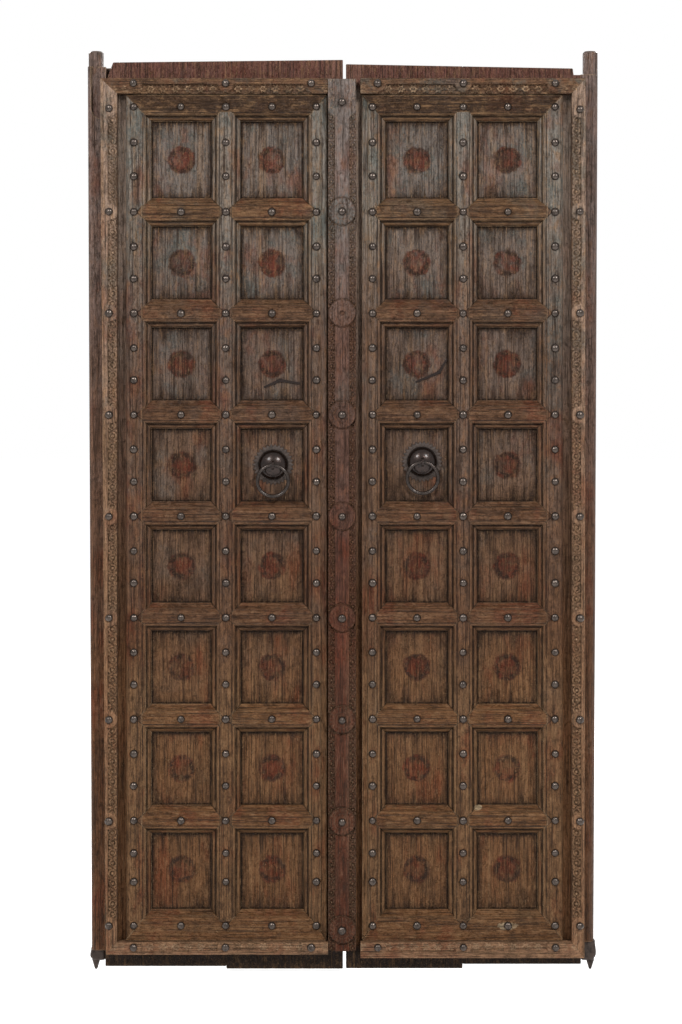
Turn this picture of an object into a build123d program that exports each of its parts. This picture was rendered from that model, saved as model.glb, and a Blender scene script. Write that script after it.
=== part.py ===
"""A pair of carved temple door leaves, hung on pivots, with applied grid, borders, studs and ring pulls.

X runs along the door from the seam, the carved front faces -Y and Z is up, in millimetres.
Y = 0 is the middle of the planks, and Z = 0 is the tip of the bottom pivot pins.
"""
import os
from dataclasses import dataclass
from math import cos, radians, sin

from build123d import *

os.makedirs("parts", exist_ok=True)

# The pair as a whole
door_height = 2150.0
seam_gap = 7.0
half_turn = 180.0

# Pivot posts, with drops measured from the top of the pins
pivot_setback = 12.0
left_post_thickness = 56.0
right_post_thickness = 40.0
post_lap = 26.0
post_foot_reach = 8.0
left_heel_round = 10.0
right_heel_round = 19.0
left_shoulder_drop = 38.0
right_shoulder_drop = 56.0
shoulder_round = 14.0
scoop_drop = 135.0
scoop_radius = 26.0
scoop_edge = 9.0
top_pin_radius = 17.5
top_pin_chamfer = 4.0
top_pin_room = 7.0

# Iron shoes and bottom pivot pins
pin_radius = 7.0
pin_free_length = 24.0
pin_shank_radius = 5.5
pin_shank_length = 14.0
pin_running_gap = 0.05
pin_thrust_gap = 0.2
left_shoe_height = 27.0
right_shoe_height = 44.0
shoe_taper = 2.0
shoe_foot_radius = 13.5
shoe_foot_height = 9.0
shoe_facets = 12
tenon_width = 14.0
tenon_length = 8.0
tenon_gap = 0.1

# Planks, with drops measured from the top of the pins
plank_thickness = 32.0
left_plank_margin = 30.0
right_plank_margin = 24.0
left_plank_drop_seam = 23.0
left_plank_drop_end = 29.0
right_plank_drop_seam = 33.0
right_plank_drop_end = 43.0
left_inner_plank_foot = 8.0
right_inner_plank_foot = 9.0
left_outer_plank_foot = 14.0
right_outer_plank_foot = 19.0
left_corner_cut_width = 18.0
right_corner_cut_width = 19.0
left_corner_cut_height = 43.0
right_corner_cut_height = 15.0
left_corner_ramp = 16.0
right_corner_ramp = 2.0

# Back battens
batten_thickness = 30.0
batten_height = 110.0
batten_chamfer = 8.0
batten_end_room = 4.0
batten_seam_room = 42.0
batten_rails = (1, 4, 7)

# Carved borders
border_drop = 70.0
border_width = 35.0
border_reveal = 19.5
border_depth = 32.0
border_low_depth = 18.0
border_carving = 9.0
carved_width = 21.0
left_border_top_reach = 8.5
right_border_top_reach = 7.5
left_border_foot_reach = -4.5
right_border_foot_reach = 4.5
left_border_foot = 49.0
right_border_foot = 41.0
border_foot_inner = 77.0
boss_radius = 20.0
boss_facets = 10
side_boss_inset = 18.0
top_boss_inset = 12.0
foot_boss_inset = 11.0
left_side_boss_drop = 70.0
right_side_boss_drop = 72.0
end_boss_x = 77.0
teeth_per_bay = 6
top_teeth = 14

# Applied grid, along the leaf from the seam
seam_to_stile = 41.0
inner_edge_width = 14.0
inner_flat_width = 20.0
bevel_width = 21.0
inner_panel_width = 145.0
muntin_width = 27.0
outer_panel_width = 139.0
outer_stile_width = 38.0

# Applied grid, up the leaf
grid_gap = 2.0
top_rail_width = 40.0
first_rail_drop = 272.0
last_rail_z = 358.0
cross_rail_count = 7
cross_rail_width = 24.0
bottom_rail_width = 74.0

# Section of the grid mouldings
moulding_depth = 22.0
bead_width = 8.0
bead_fall = 3.0
quirk_drop = 5.0
lip_depth = 5.0
inner_edge_drop = 5.0
outer_edge_round = 9.0

# Centre cover strip, on the left leaf
cover_left_x = -38.0
cover_right_x = 27.0
cover_drop = 2.0
cover_foot = 58.0
cover_depth = 40.0
cover_low_depth = 22.0
cover_carving = 10.0
cover_fillet_width = 30.0
cover_boss_radius = 31.0
cover_head_height = 75.0
cover_shoulder = 16.0
shoulder_sides = 8
cover_head_stud_drop = 54.0
cover_foot_stud_rise = 49.0
cover_lap_gap = 0.5
cover_side_room = 10.0
cover_studs_above_lost_count = 2

# Studs
stud_width = 17.5
stud_height = 8.0
stud_roofs = 2
stud_row_shares = (0.28, 0.72)
top_stud_drop = 28.0
foot_stud_rise = 35.0

# Ring pulls, in the fourth row of panels
pull_row = 4
left_pull_share = 0.4828
right_pull_share = 0.5862
left_pull_rise = 1.0
right_pull_rise = 8.0
plate_radius = 48.5
plate_tooth = 5.0
plate_teeth = 20
plate_thickness = 2.5
dome_facets = 12
dome_rim_radius = 35.0
dome_rim = 3.0
dome_radius = 32.0
dome_height = 22.0
dome_flank_in = 8.0
dome_flank_down = 12.0
dome_crown_in = 12.0
dome_crown_down = 6.0
staple_width = 8.0
eye_thickness = 6.0
eye_reach = 6.5
eye_radius = 9.5
eye_hole_radius = 5.4
eye_facets = 8
staple_leg = 34.0
staple_leg_thickness = 4.0
ring_radius = 36.0
ring_wire = 8.5
ring_sides = 16
ring_chamfer = 2.4

# Split pins, in the third row of panels
split_row = 3
left_split_edge = 54.0
right_split_edge = 20.0
left_split_drop = 38.0
right_split_drop = 19.0
split_width = 7.0
split_leg_thickness = 3.0
left_split_legs = (41.0, 47.0)
right_split_legs = (60.0, 36.0)
split_tip_width = 4.0
left_split_angles = (203.0, -8.5)
right_split_angles = (203.0, 60.0)
split_eye_radius = 12.0
split_eye_hole = 7.0
split_eye_sides = 8

# Depths towards the viewer, measured from the middle of the planks
face = plank_thickness / 2
plank_back = -plank_thickness / 2
flat_depth = face + moulding_depth

# Places along the leaf, from the seam outwards
inner_flat_x = seam_to_stile + inner_edge_width
inner_bevel_x = inner_flat_x + inner_flat_width
inner_panel_x = inner_bevel_x + bevel_width
inner_panel_end = inner_panel_x + inner_panel_width
muntin_x = inner_panel_end + bevel_width
muntin_end = muntin_x + muntin_width
muntin_mid = muntin_x + muntin_width / 2
outer_panel_x = muntin_end + bevel_width
outer_panel_end = outer_panel_x + outer_panel_width
outer_flat_x = outer_panel_end + bevel_width
grid_end = outer_flat_x + outer_stile_width
border_inner_x = grid_end + border_reveal
side_boss_x = border_inner_x + side_boss_inset
columns = ((inner_panel_x, inner_panel_end), (outer_panel_x, outer_panel_end))
left_pull_x = inner_panel_x + inner_panel_width * left_pull_share
right_pull_x = inner_panel_x + inner_panel_width * right_pull_share

# Places up the leaf, from the top downwards
border_top = door_height - border_drop
border_top_inner = border_top - border_width
cover_top = border_top - cover_drop
cover_head_foot = cover_top - cover_head_height
grid_top = border_top_inner - grid_gap
grid_foot = border_foot_inner + grid_gap
top_flat_foot = grid_top - top_rail_width
bottom_flat_top = grid_foot + bottom_rail_width
first_rail_z = grid_top - first_rail_drop
rail_pitch = (first_rail_z - last_rail_z) / (cross_rail_count - 1)
rail_zs = [first_rail_z - rail_pitch * step for step in range(cross_rail_count)]
half_rail = cross_rail_width / 2
flat_feet = [top_flat_foot] + [z - half_rail for z in rail_zs]
flat_tops = [z + half_rail for z in rail_zs] + [bottom_flat_top]
rows = [(foot - bevel_width, top + bevel_width) for foot, top in zip(flat_feet, flat_tops)]
row_middles = [(top + foot) / 2 for top, foot in rows]


@dataclass(frozen=True)
class Leaf:
    """One leaf: its name, the side it stands on and the sizes that differ from its neighbour's."""

    side: str
    hand: int
    plank_margin: float
    post_thickness: float
    heel_round: float
    shoulder_drop: float
    shoe_height: float
    plank_drops: tuple
    plank_feet: tuple
    corner_cut: tuple
    border_reaches: tuple
    border_foot: float
    border_start: float
    side_boss_drop: float
    pull: tuple
    split: tuple
    split_angles: tuple
    split_legs: tuple

    @property
    def plank_end(self):
        """Where the planks stop beside the pivot pin."""
        return border_inner_x + self.plank_margin

    @property
    def pivot_x(self):
        """How far the pivot axis stands from the seam."""
        return self.plank_end + top_pin_room + top_pin_radius


leaves = (
    Leaf(
        side="left",
        hand=-1,
        plank_margin=left_plank_margin,
        post_thickness=left_post_thickness,
        heel_round=left_heel_round,
        shoulder_drop=left_shoulder_drop,
        shoe_height=left_shoe_height,
        plank_drops=(left_plank_drop_seam, left_plank_drop_end),
        plank_feet=(left_inner_plank_foot, left_outer_plank_foot),
        corner_cut=(left_corner_cut_width, left_corner_cut_height, left_corner_ramp),
        border_reaches=(left_border_foot_reach, left_border_top_reach),
        border_foot=left_border_foot,
        border_start=-cover_left_x,
        side_boss_drop=left_side_boss_drop,
        pull=(left_pull_x, row_middles[pull_row - 1] + left_pull_rise),
        split=(inner_panel_x + left_split_edge, row_middles[split_row - 1] - left_split_drop),
        split_angles=left_split_angles,
        split_legs=left_split_legs,
    ),
    Leaf(
        side="right",
        hand=1,
        plank_margin=right_plank_margin,
        post_thickness=right_post_thickness,
        heel_round=right_heel_round,
        shoulder_drop=right_shoulder_drop,
        shoe_height=right_shoe_height,
        plank_drops=(right_plank_drop_seam, right_plank_drop_end),
        plank_feet=(right_inner_plank_foot, right_outer_plank_foot),
        corner_cut=(right_corner_cut_width, right_corner_cut_height, right_corner_ramp),
        border_reaches=(right_border_foot_reach, right_border_top_reach),
        border_foot=right_border_foot,
        border_start=cover_right_x + cover_side_room,
        side_boss_drop=right_side_boss_drop,
        pull=(right_pull_x, row_middles[pull_row - 1] + right_pull_rise),
        split=(inner_panel_end - right_split_edge, row_middles[split_row - 1] - right_split_drop),
        split_angles=right_split_angles,
        split_legs=right_split_legs,
    ),
)

# In this section the first coordinate is the depth towards the viewer and the second is the height
side_section = Plane(origin=(0, 0, 0), x_dir=(0, -1, 0), z_dir=(-1, 0, 0))
# In this section the first coordinate runs along the door and the second is the depth towards the viewer
level_section = Plane(origin=(0, 0, 0), x_dir=(1, 0, 0), z_dir=(0, 0, -1))


def midway(first, last):
    """The place halfway between two places."""
    return (first + last) / 2


def bevel(edge, away):
    """The stepped bevel from a flat's edge down to the plank, as pairs of place and depth."""
    bead_foot = flat_depth - bead_fall
    return [
        (edge, flat_depth),
        (edge + away * bead_width, bead_foot),
        (edge + away * bead_width, bead_foot - quirk_drop),
        (edge + away * bevel_width, face + lip_depth),
        (edge + away * bevel_width, face),
    ]


def zigzag(start, end, teeth, low, high):
    """The crests and valleys of a row of carved points, as pairs of place and depth."""
    pitch = (end - start) / teeth
    crests = [(start + pitch * (tooth + 1) - pitch / 2, high) for tooth in range(teeth)]
    valleys = [(start + pitch * (tooth + 1), low) for tooth in range(teeth)]
    return [(start, low)] + [point for pair in zip(crests, valleys) for point in pair]


def turned(points):
    """The same points with place and depth exchanged, for a section of a level piece."""
    return [(depth, place) for place, depth in points]


def sided(points, hand):
    """The same points on the leaf's own side of the seam."""
    return [(hand * x, other) for x, other in points]


# One stud head, hammered to a four-sided point: what is left where two roofs cross
with BuildPart() as stud_head:
    for step in range(stud_roofs):
        turn = radians(half_turn * step / stud_roofs)
        roof_plane = Plane((0, 0, 0), x_dir=(cos(turn), 0, sin(turn)), z_dir=(sin(turn), 0, -cos(turn)))
        with BuildSketch(roof_plane):
            Polygon((-stud_width / 2, 0), (stud_width / 2, 0), (0, stud_height))
        extrude(amount=stud_width, both=True, mode=Mode.INTERSECT if step else Mode.ADD)

for leaf in leaves:
    side = leaf.side
    hand = leaf.hand
    plank_end = leaf.plank_end
    tongue_x = plank_end - post_lap
    post_back = -pivot_setback - leaf.post_thickness / 2
    post_front = post_back + leaf.post_thickness
    post_foot = pin_free_length + leaf.shoe_height
    post_foot_x = leaf.pivot_x + post_foot_reach
    post_top_x = leaf.pivot_x + top_pin_radius
    shoulder_z = door_height - leaf.shoulder_drop
    pivot = (hand * leaf.pivot_x, pivot_setback)

    # Pivot post: a tapered upright with a rounded heel, lapped behind the planks, and a round top pin
    # flush with its outer edge; on the left leaf a scoop with a round foot brings its front back to the pin
    with BuildPart() as pivot_post:
        with BuildSketch(Plane.XZ.offset(post_back)):
            Polygon(
                *sided(
                    [
                        (tongue_x, post_foot),
                        (post_foot_x, post_foot),
                        (post_top_x, shoulder_z),
                        (tongue_x, shoulder_z),
                    ],
                    hand,
                )
            )
        extrude(amount=leaf.post_thickness)
        long_edges = pivot_post.edges().filter_by(Axis.Y, reverse=True)
        fillet(long_edges.sort_by(Axis.X, reverse=hand < 0)[-2:], radius=leaf.heel_round)
        with BuildSketch(Plane.XZ.offset(plank_back)):
            with Locations((hand * midway(tongue_x, plank_end), midway(0, door_height))):
                Rectangle(post_lap, door_height)
        extrude(amount=post_front - plank_back, mode=Mode.SUBTRACT)
        top_edges = pivot_post.edges().filter_by(Axis.Y).group_by(Axis.Z)[-1]
        fillet(top_edges.sort_by(Axis.X, reverse=hand < 0)[0], radius=shoulder_round)
        if side == "left":
            scoop_x = post_top_x - scoop_edge - scoop_radius
            scoop_z = door_height - scoop_drop
            pin_front = top_pin_radius - pivot_setback
            with BuildSketch(Plane.XZ.offset(pin_front)):
                with Locations((hand * scoop_x, scoop_z)):
                    Circle(scoop_radius)
                with Locations((hand * scoop_x, midway(scoop_z, door_height))):
                    Rectangle(2 * scoop_radius, scoop_drop)
            extrude(amount=post_front - pin_front, mode=Mode.SUBTRACT)
        with BuildSketch(Plane.XY.offset(shoulder_z)):
            with Locations(pivot):
                Circle(top_pin_radius)
        extrude(amount=door_height - shoulder_z)
        chamfer(pivot_post.faces().sort_by(Axis.Z)[-1].edges(), length=top_pin_chamfer)
        with BuildSketch(Plane.XY.offset(post_foot - tenon_length)):
            with Locations(pivot):
                Rectangle(tenon_width, tenon_width)
        extrude(amount=tenon_length)
    pivot_post.part.label = f"{side}_pivot_post"
    export_step(pivot_post.part, f"parts/{side}_pivot_post.step")

    # Pivot shoe: a forged ferrule that flares to its foot, socketed for the post and bored for the pin
    with BuildPart() as pivot_shoe:
        with BuildSketch(Plane.XY.offset(pin_free_length)):
            with Locations(pivot):
                RegularPolygon(shoe_foot_radius, shoe_facets)
        extrude(amount=leaf.shoe_height)
        shoe_top = pivot_shoe.faces().sort_by(Axis.Z)[-1]
        chamfer(shoe_top.edges(), shoe_taper, leaf.shoe_height - shoe_foot_height, reference=shoe_top)
        with BuildSketch(Plane.XY.offset(post_foot)):
            with Locations(pivot):
                Rectangle(tenon_width + tenon_gap, tenon_width + tenon_gap)
        extrude(amount=-tenon_length, mode=Mode.SUBTRACT)
        with BuildSketch(Plane.XY.offset(pin_free_length)):
            with Locations(pivot):
                Circle(pin_shank_radius + pin_running_gap)
        extrude(amount=pin_shank_length + pin_thrust_gap, mode=Mode.SUBTRACT)
    pivot_shoe.part.label = f"{side}_pivot_shoe"
    export_step(pivot_shoe.part, f"parts/{side}_pivot_shoe.step")

    # Planks: two boards that meet behind the muntin, with worn, sloping ends
    top_seam, top_end = [door_height - drop for drop in leaf.plank_drops]
    inner_foot, outer_foot = leaf.plank_feet
    cut_width, cut_height, cut_ramp = leaf.corner_cut
    joint_share = muntin_mid / (plank_end - cut_width)
    top_joint = top_seam + (top_end - top_seam) * joint_share
    with BuildPart() as inner_plank:
        with BuildSketch(Plane.XZ.offset(plank_back)):
            Polygon(
                *sided(
                    [
                        (seam_gap / 2, inner_foot),
                        (muntin_mid, inner_foot),
                        (muntin_mid, top_joint),
                        (seam_gap / 2, top_seam),
                    ],
                    hand,
                )
            )
            with Locations((hand * leaf.pull[0], leaf.pull[1])):
                Rectangle(staple_width, staple_width, mode=Mode.SUBTRACT)
            with Locations((hand * leaf.split[0], leaf.split[1])):
                Rectangle(split_width, split_width, mode=Mode.SUBTRACT)
        extrude(amount=plank_thickness)
    inner_plank.part.label = f"{side}_inner_plank"
    export_step(inner_plank.part, f"parts/{side}_inner_plank.step")

    with BuildPart() as outer_plank:
        with BuildSketch(Plane.XZ.offset(plank_back)):
            Polygon(
                *sided(
                    [
                        (muntin_mid, outer_foot),
                        (plank_end, outer_foot),
                        (plank_end, top_end - cut_height),
                        (plank_end - cut_width + cut_ramp, top_end - cut_height),
                        (plank_end - cut_width, top_end),
                        (muntin_mid, top_joint),
                    ],
                    hand,
                )
            )
        extrude(amount=plank_thickness)
    outer_plank.part.label = f"{side}_outer_plank"
    export_step(outer_plank.part, f"parts/{side}_outer_plank.step")

    # Back battens: behind the cross rails whose nails they hold, with chamfered back edges
    for number, rail in enumerate(batten_rails, start=1):
        batten_end = tongue_x - batten_end_room
        with BuildPart() as batten:
            with BuildSketch(Plane.XZ.offset(plank_back)):
                with Locations((hand * midway(batten_seam_room, batten_end), rail_zs[rail - 1])):
                    Rectangle(batten_end - batten_seam_room, batten_height)
            extrude(amount=-batten_thickness)
            chamfer(batten.faces().sort_by(Axis.Y)[-1].edges(), length=batten_chamfer)
        batten.part.label = f"{side}_back_batten_{number}"
        export_step(batten.part, f"parts/{side}_back_batten_{number}.step")

    # Outer stile: mitred to the top and bottom rails, with a stepped bevel beside each panel
    with BuildPart() as outer_stile:
        with BuildSketch(level_section.offset(-midway(grid_foot, grid_top))):
            Polygon(*sided(bevel(outer_flat_x, -1) + [(grid_end, face), (grid_end, flat_depth)], hand))
        extrude(amount=(grid_top - grid_foot) / 2, both=True)
        outer_edge = outer_stile.edges().filter_by(Axis.Z).group_by(Axis.Y)[0]
        fillet(outer_edge.sort_by(Axis.X, reverse=hand < 0)[-1], radius=outer_edge_round)
        with BuildSketch(Plane.XZ.offset(face)):
            Polygon(
                *sided(
                    [
                        (grid_end, grid_foot),
                        (grid_end, grid_top),
                        (outer_flat_x, top_flat_foot),
                        (outer_flat_x, bottom_flat_top),
                    ],
                    hand,
                )
            )
            for (row_top, row_foot), foot, top in zip(rows, flat_feet, flat_tops):
                Polygon(
                    *sided(
                        [
                            (outer_flat_x, foot),
                            (outer_panel_end, row_top),
                            (outer_panel_end, row_foot),
                            (outer_flat_x, top),
                        ],
                        hand,
                    )
                )
        extrude(amount=moulding_depth, mode=Mode.INTERSECT)
    outer_stile.part.label = f"{side}_outer_stile"
    export_step(outer_stile.part, f"parts/{side}_outer_stile.step")

    # Inner stile: like the outer one, with a lower edge towards the seam
    with BuildPart() as inner_stile:
        with BuildSketch(level_section.offset(-midway(grid_foot, grid_top))):
            edge_depth = flat_depth - inner_edge_drop
            seam_edge = [
                (seam_to_stile, face),
                (seam_to_stile, edge_depth),
                (inner_flat_x, edge_depth),
                (inner_flat_x, flat_depth),
            ]
            Polygon(*sided(seam_edge + bevel(inner_bevel_x, 1), hand))
        extrude(amount=(grid_top - grid_foot) / 2, both=True)
        with BuildSketch(Plane.XZ.offset(face)):
            Polygon(
                *sided(
                    [
                        (seam_to_stile, grid_foot),
                        (seam_to_stile, grid_top),
                        (inner_bevel_x, top_flat_foot),
                        (inner_bevel_x, bottom_flat_top),
                    ],
                    hand,
                )
            )
            for (row_top, row_foot), foot, top in zip(rows, flat_feet, flat_tops):
                Polygon(
                    *sided(
                        [
                            (inner_bevel_x, foot),
                            (inner_panel_x, row_top),
                            (inner_panel_x, row_foot),
                            (inner_bevel_x, top),
                        ],
                        hand,
                    )
                )
        extrude(amount=moulding_depth, mode=Mode.INTERSECT)
    inner_stile.part.label = f"{side}_inner_stile"
    export_step(inner_stile.part, f"parts/{side}_inner_stile.step")

    # Centre muntin: bevelled on both sides, between the top and bottom rails
    with BuildPart() as centre_muntin:
        with BuildSketch(level_section.offset(-midway(grid_foot, grid_top))):
            Polygon(*sided(bevel(muntin_x, -1)[::-1] + bevel(muntin_end, 1), hand))
        extrude(amount=(grid_top - grid_foot) / 2, both=True)
        with BuildSketch(Plane.XZ.offset(face)):
            with Locations((hand * muntin_mid, midway(top_flat_foot, bottom_flat_top))):
                Rectangle(muntin_width, top_flat_foot - bottom_flat_top)
            for (row_top, row_foot), foot, top in zip(rows, flat_feet, flat_tops):
                Polygon(
                    *sided(
                        [
                            (muntin_x, foot),
                            (inner_panel_end, row_top),
                            (inner_panel_end, row_foot),
                            (muntin_x, top),
                        ],
                        hand,
                    )
                )
                Polygon(
                    *sided(
                        [
                            (muntin_end, foot),
                            (outer_panel_x, row_top),
                            (outer_panel_x, row_foot),
                            (muntin_end, top),
                        ],
                        hand,
                    )
                )
        extrude(amount=moulding_depth, mode=Mode.INTERSECT)
    centre_muntin.part.label = f"{side}_centre_muntin"
    export_step(centre_muntin.part, f"parts/{side}_centre_muntin.step")

    # Top rail and bottom rail: each one piece, mitred to the stiles, bevelled towards the panels
    grid_middle_x = hand * midway(seam_to_stile, grid_end)
    grid_half_width = (grid_end - seam_to_stile) / 2
    end_rails = (
        ("top_rail", grid_top, top_flat_foot, rows[0][0], -1),
        ("bottom_rail", grid_foot, bottom_flat_top, rows[-1][1], 1),
    )
    for name, outer_z, flat_z, panel_z, away in end_rails:
        with BuildPart() as end_rail:
            with BuildSketch(side_section.offset(-grid_middle_x)):
                Polygon(*turned([(outer_z, face), (outer_z, flat_depth)] + bevel(flat_z, away)))
            extrude(amount=grid_half_width, both=True)
            with BuildSketch(Plane.XZ.offset(face)):
                Polygon(
                    *sided(
                        [
                            (seam_to_stile, outer_z),
                            (grid_end, outer_z),
                            (outer_flat_x, flat_z),
                            (inner_bevel_x, flat_z),
                        ],
                        hand,
                    )
                )
                for start, end in columns:
                    Polygon(
                        *sided(
                            [
                                (start - bevel_width, flat_z),
                                (end + bevel_width, flat_z),
                                (end, panel_z),
                                (start, panel_z),
                            ],
                            hand,
                        )
                    )
            extrude(amount=moulding_depth, mode=Mode.INTERSECT)
        end_rail.part.label = f"{side}_{name}"
        export_step(end_rail.part, f"parts/{side}_{name}.step")

    # Cross rails: two short pieces at each level, their bevels mitred to those of the uprights
    for number, rail_z in enumerate(rail_zs, start=1):
        with BuildPart() as cross_rail:
            with BuildSketch(side_section.offset(-grid_middle_x)):
                upper = bevel(rail_z + half_rail, 1)
                lower = bevel(rail_z - half_rail, -1)
                Polygon(*turned(lower[::-1] + upper))
            extrude(amount=grid_half_width, both=True)
            panel_foot = rows[number - 1][1]
            panel_top = rows[number][0]
            with BuildSketch(Plane.XZ.offset(face)):
                for start, end in columns:
                    Polygon(
                        *sided(
                            [
                                (start, panel_foot),
                                (start - bevel_width, rail_z + half_rail),
                                (start - bevel_width, rail_z - half_rail),
                                (start, panel_top),
                                (end, panel_top),
                                (end + bevel_width, rail_z - half_rail),
                                (end + bevel_width, rail_z + half_rail),
                                (end, panel_foot),
                            ],
                            hand,
                        )
                    )
            extrude(amount=moulding_depth, mode=Mode.INTERSECT)
        cross_rail.part.label = f"{side}_cross_rail_{number}"
        export_step(cross_rail.part, f"parts/{side}_cross_rail_{number}.step")

    # Side border: a carved band towards the grid, a plain fillet outside it and a boss at each rail
    border_foot_x, border_top_x = [plank_end + reach for reach in leaf.border_reaches]
    carved_end = border_inner_x + carved_width
    side_length = border_top - leaf.border_foot
    side_middle = midway(leaf.border_foot, border_top)
    low_depth = face + border_low_depth
    high_depth = low_depth + border_carving
    side_boss_zs = [border_top - leaf.side_boss_drop] + rail_zs
    top_boss_z = border_top - top_boss_inset
    foot_boss_z = border_foot_inner - foot_boss_inset
    tooth_pitch = rail_pitch / teeth_per_bay
    side_teeth = int(side_length / tooth_pitch) + 1
    carving_foot = rail_zs[-1] - tooth_pitch * int((rail_zs[-1] - leaf.border_foot) / tooth_pitch + 1)
    carving_top = carving_foot + tooth_pitch * (side_teeth + 1)
    with BuildPart() as side_border:
        with BuildSketch(side_section.offset(-hand * midway(border_inner_x, carved_end))):
            crests = zigzag(carving_foot, carving_top, side_teeth + 1, low_depth, high_depth)
            Polygon(*turned([(carving_foot, face)] + crests + [(carving_top, face)]))
        extrude(amount=carved_width / 2, both=True)
        with BuildSketch(level_section.offset(-side_middle)):
            Polygon(
                *sided(
                    [
                        (border_inner_x, face),
                        (border_inner_x, low_depth),
                        (midway(border_inner_x, carved_end), high_depth),
                        (carved_end, low_depth),
                        (carved_end, face),
                    ],
                    hand,
                )
            )
        extrude(amount=side_length, both=True, mode=Mode.INTERSECT)
        with BuildSketch(Plane.XZ.offset(face)):
            Polygon(
                *sided(
                    [
                        (carved_end, leaf.border_foot),
                        (border_foot_x, leaf.border_foot),
                        (border_top_x, border_top),
                        (carved_end, border_top),
                    ],
                    hand,
                )
            )
            with Locations(*[(hand * side_boss_x, z) for z in side_boss_zs]):
                RegularPolygon(boss_radius, boss_facets)
        extrude(amount=border_depth)
        with BuildSketch(Plane.XZ.offset(face)):
            Polygon(
                *sided(
                    [
                        (border_inner_x, border_foot_inner),
                        (border_foot_x, leaf.border_foot),
                        (border_top_x, border_top),
                        (border_inner_x, border_top_inner),
                    ],
                    hand,
                )
            )
        extrude(amount=border_depth, mode=Mode.INTERSECT)
    side_border.part.label = f"{side}_side_border"
    export_step(side_border.part, f"parts/{side}_side_border.step")

    # Top and bottom borders: mitred to the side border, with a middle boss and two end blocks
    level_borders = (
        ("top_border", border_top, border_top_inner, border_top_x, top_boss_z),
        ("bottom_border", leaf.border_foot, border_foot_inner, border_foot_x, foot_boss_z),
    )
    for name, outer_z, inner_z, corner_x, boss_z in level_borders:
        start = leaf.border_start
        toward = 1 if outer_z > inner_z else -1
        fillet_z = inner_z + toward * carved_width
        outer_boss_x = midway(outer_flat_x, grid_end)
        with BuildPart() as level_border:
            with BuildSketch(level_section.offset(-midway(inner_z, fillet_z))):
                crests = zigzag(start, border_inner_x, top_teeth, low_depth, high_depth)
                Polygon(*sided([(start, face)] + crests + [(border_inner_x, face)], hand))
            extrude(amount=carved_width / 2, both=True)
            with BuildSketch(side_section.offset(-hand * midway(start, corner_x))):
                roof = [
                    (inner_z, face),
                    (inner_z, low_depth),
                    (midway(inner_z, fillet_z), high_depth),
                    (fillet_z, low_depth),
                    (fillet_z, face),
                ]
                Polygon(*turned(roof))
            extrude(amount=corner_x, both=True, mode=Mode.INTERSECT)
            with BuildSketch(Plane.XZ.offset(face)):
                Polygon(
                    *sided(
                        [(start, fillet_z), (corner_x, fillet_z), (corner_x, outer_z), (start, outer_z)],
                        hand,
                    )
                )
                with Locations(*[(hand * x, boss_z) for x in (end_boss_x, muntin_mid, outer_boss_x)]):
                    RegularPolygon(boss_radius, boss_facets)
                for block_start, block_end in ((start, end_boss_x), (outer_boss_x, corner_x)):
                    Polygon(
                        *sided(
                            [
                                (block_start, inner_z),
                                (block_end, inner_z),
                                (block_end, fillet_z),
                                (block_start, fillet_z),
                            ],
                            hand,
                        )
                    )
            extrude(amount=border_depth)
            with BuildSketch(Plane.XZ.offset(face)):
                Polygon(
                    *sided(
                        [(start, inner_z), (border_inner_x, inner_z), (corner_x, outer_z), (start, outer_z)],
                        hand,
                    )
                )
            extrude(amount=border_depth, mode=Mode.INTERSECT)
        level_border.part.label = f"{side}_{name}"
        export_step(level_border.part, f"parts/{side}_{name}.step")

    # Ring plate: a thin iron plate with a toothed edge
    pull_x, pull_z = leaf.pull
    pull = (hand * pull_x, pull_z)
    tooth_angle = 2 * half_turn / plate_teeth
    with BuildPart() as ring_plate:
        with BuildSketch(Plane.XZ.offset(face)):
            with Locations(pull):
                tips = [
                    (
                        (plate_radius - plate_tooth * (step % 2)) * cos(radians(tooth_angle * step / 2)),
                        (plate_radius - plate_tooth * (step % 2)) * sin(radians(tooth_angle * step / 2)),
                    )
                    for step in range(2 * plate_teeth)
                ]
                Polygon(*tips)
                Rectangle(staple_width, staple_width, mode=Mode.SUBTRACT)
        extrude(amount=plate_thickness)
    ring_plate.part.label = f"{side}_ring_plate"
    export_step(ring_plate.part, f"parts/{side}_ring_plate.step")

    # Ring boss: a rimmed dome raised in facets
    boss_seat = face + plate_thickness
    nose = boss_seat + dome_rim + dome_height
    with BuildPart() as ring_boss:
        with BuildSketch(Plane.XZ.offset(boss_seat + dome_rim)):
            with Locations(pull):
                RegularPolygon(dome_radius, dome_facets)
        extrude(amount=dome_height)
        crown = ring_boss.faces().sort_by(Axis.Y)[0]
        chamfer(crown.edges(), dome_flank_in, dome_flank_down, reference=crown)
        crown = ring_boss.faces().sort_by(Axis.Y)[0]
        chamfer(crown.edges(), dome_crown_in, dome_crown_down, reference=crown)
        with BuildSketch(Plane.XZ.offset(boss_seat)):
            with Locations(pull):
                RegularPolygon(dome_rim_radius, dome_facets)
        extrude(amount=dome_rim)
        with BuildSketch(Plane.XZ.offset(boss_seat)):
            with Locations(pull):
                Rectangle(staple_width, staple_width)
        extrude(amount=dome_rim + dome_height, mode=Mode.SUBTRACT)
    ring_boss.part.label = f"{side}_ring_boss"
    export_step(ring_boss.part, f"parts/{side}_ring_boss.step")

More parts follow.
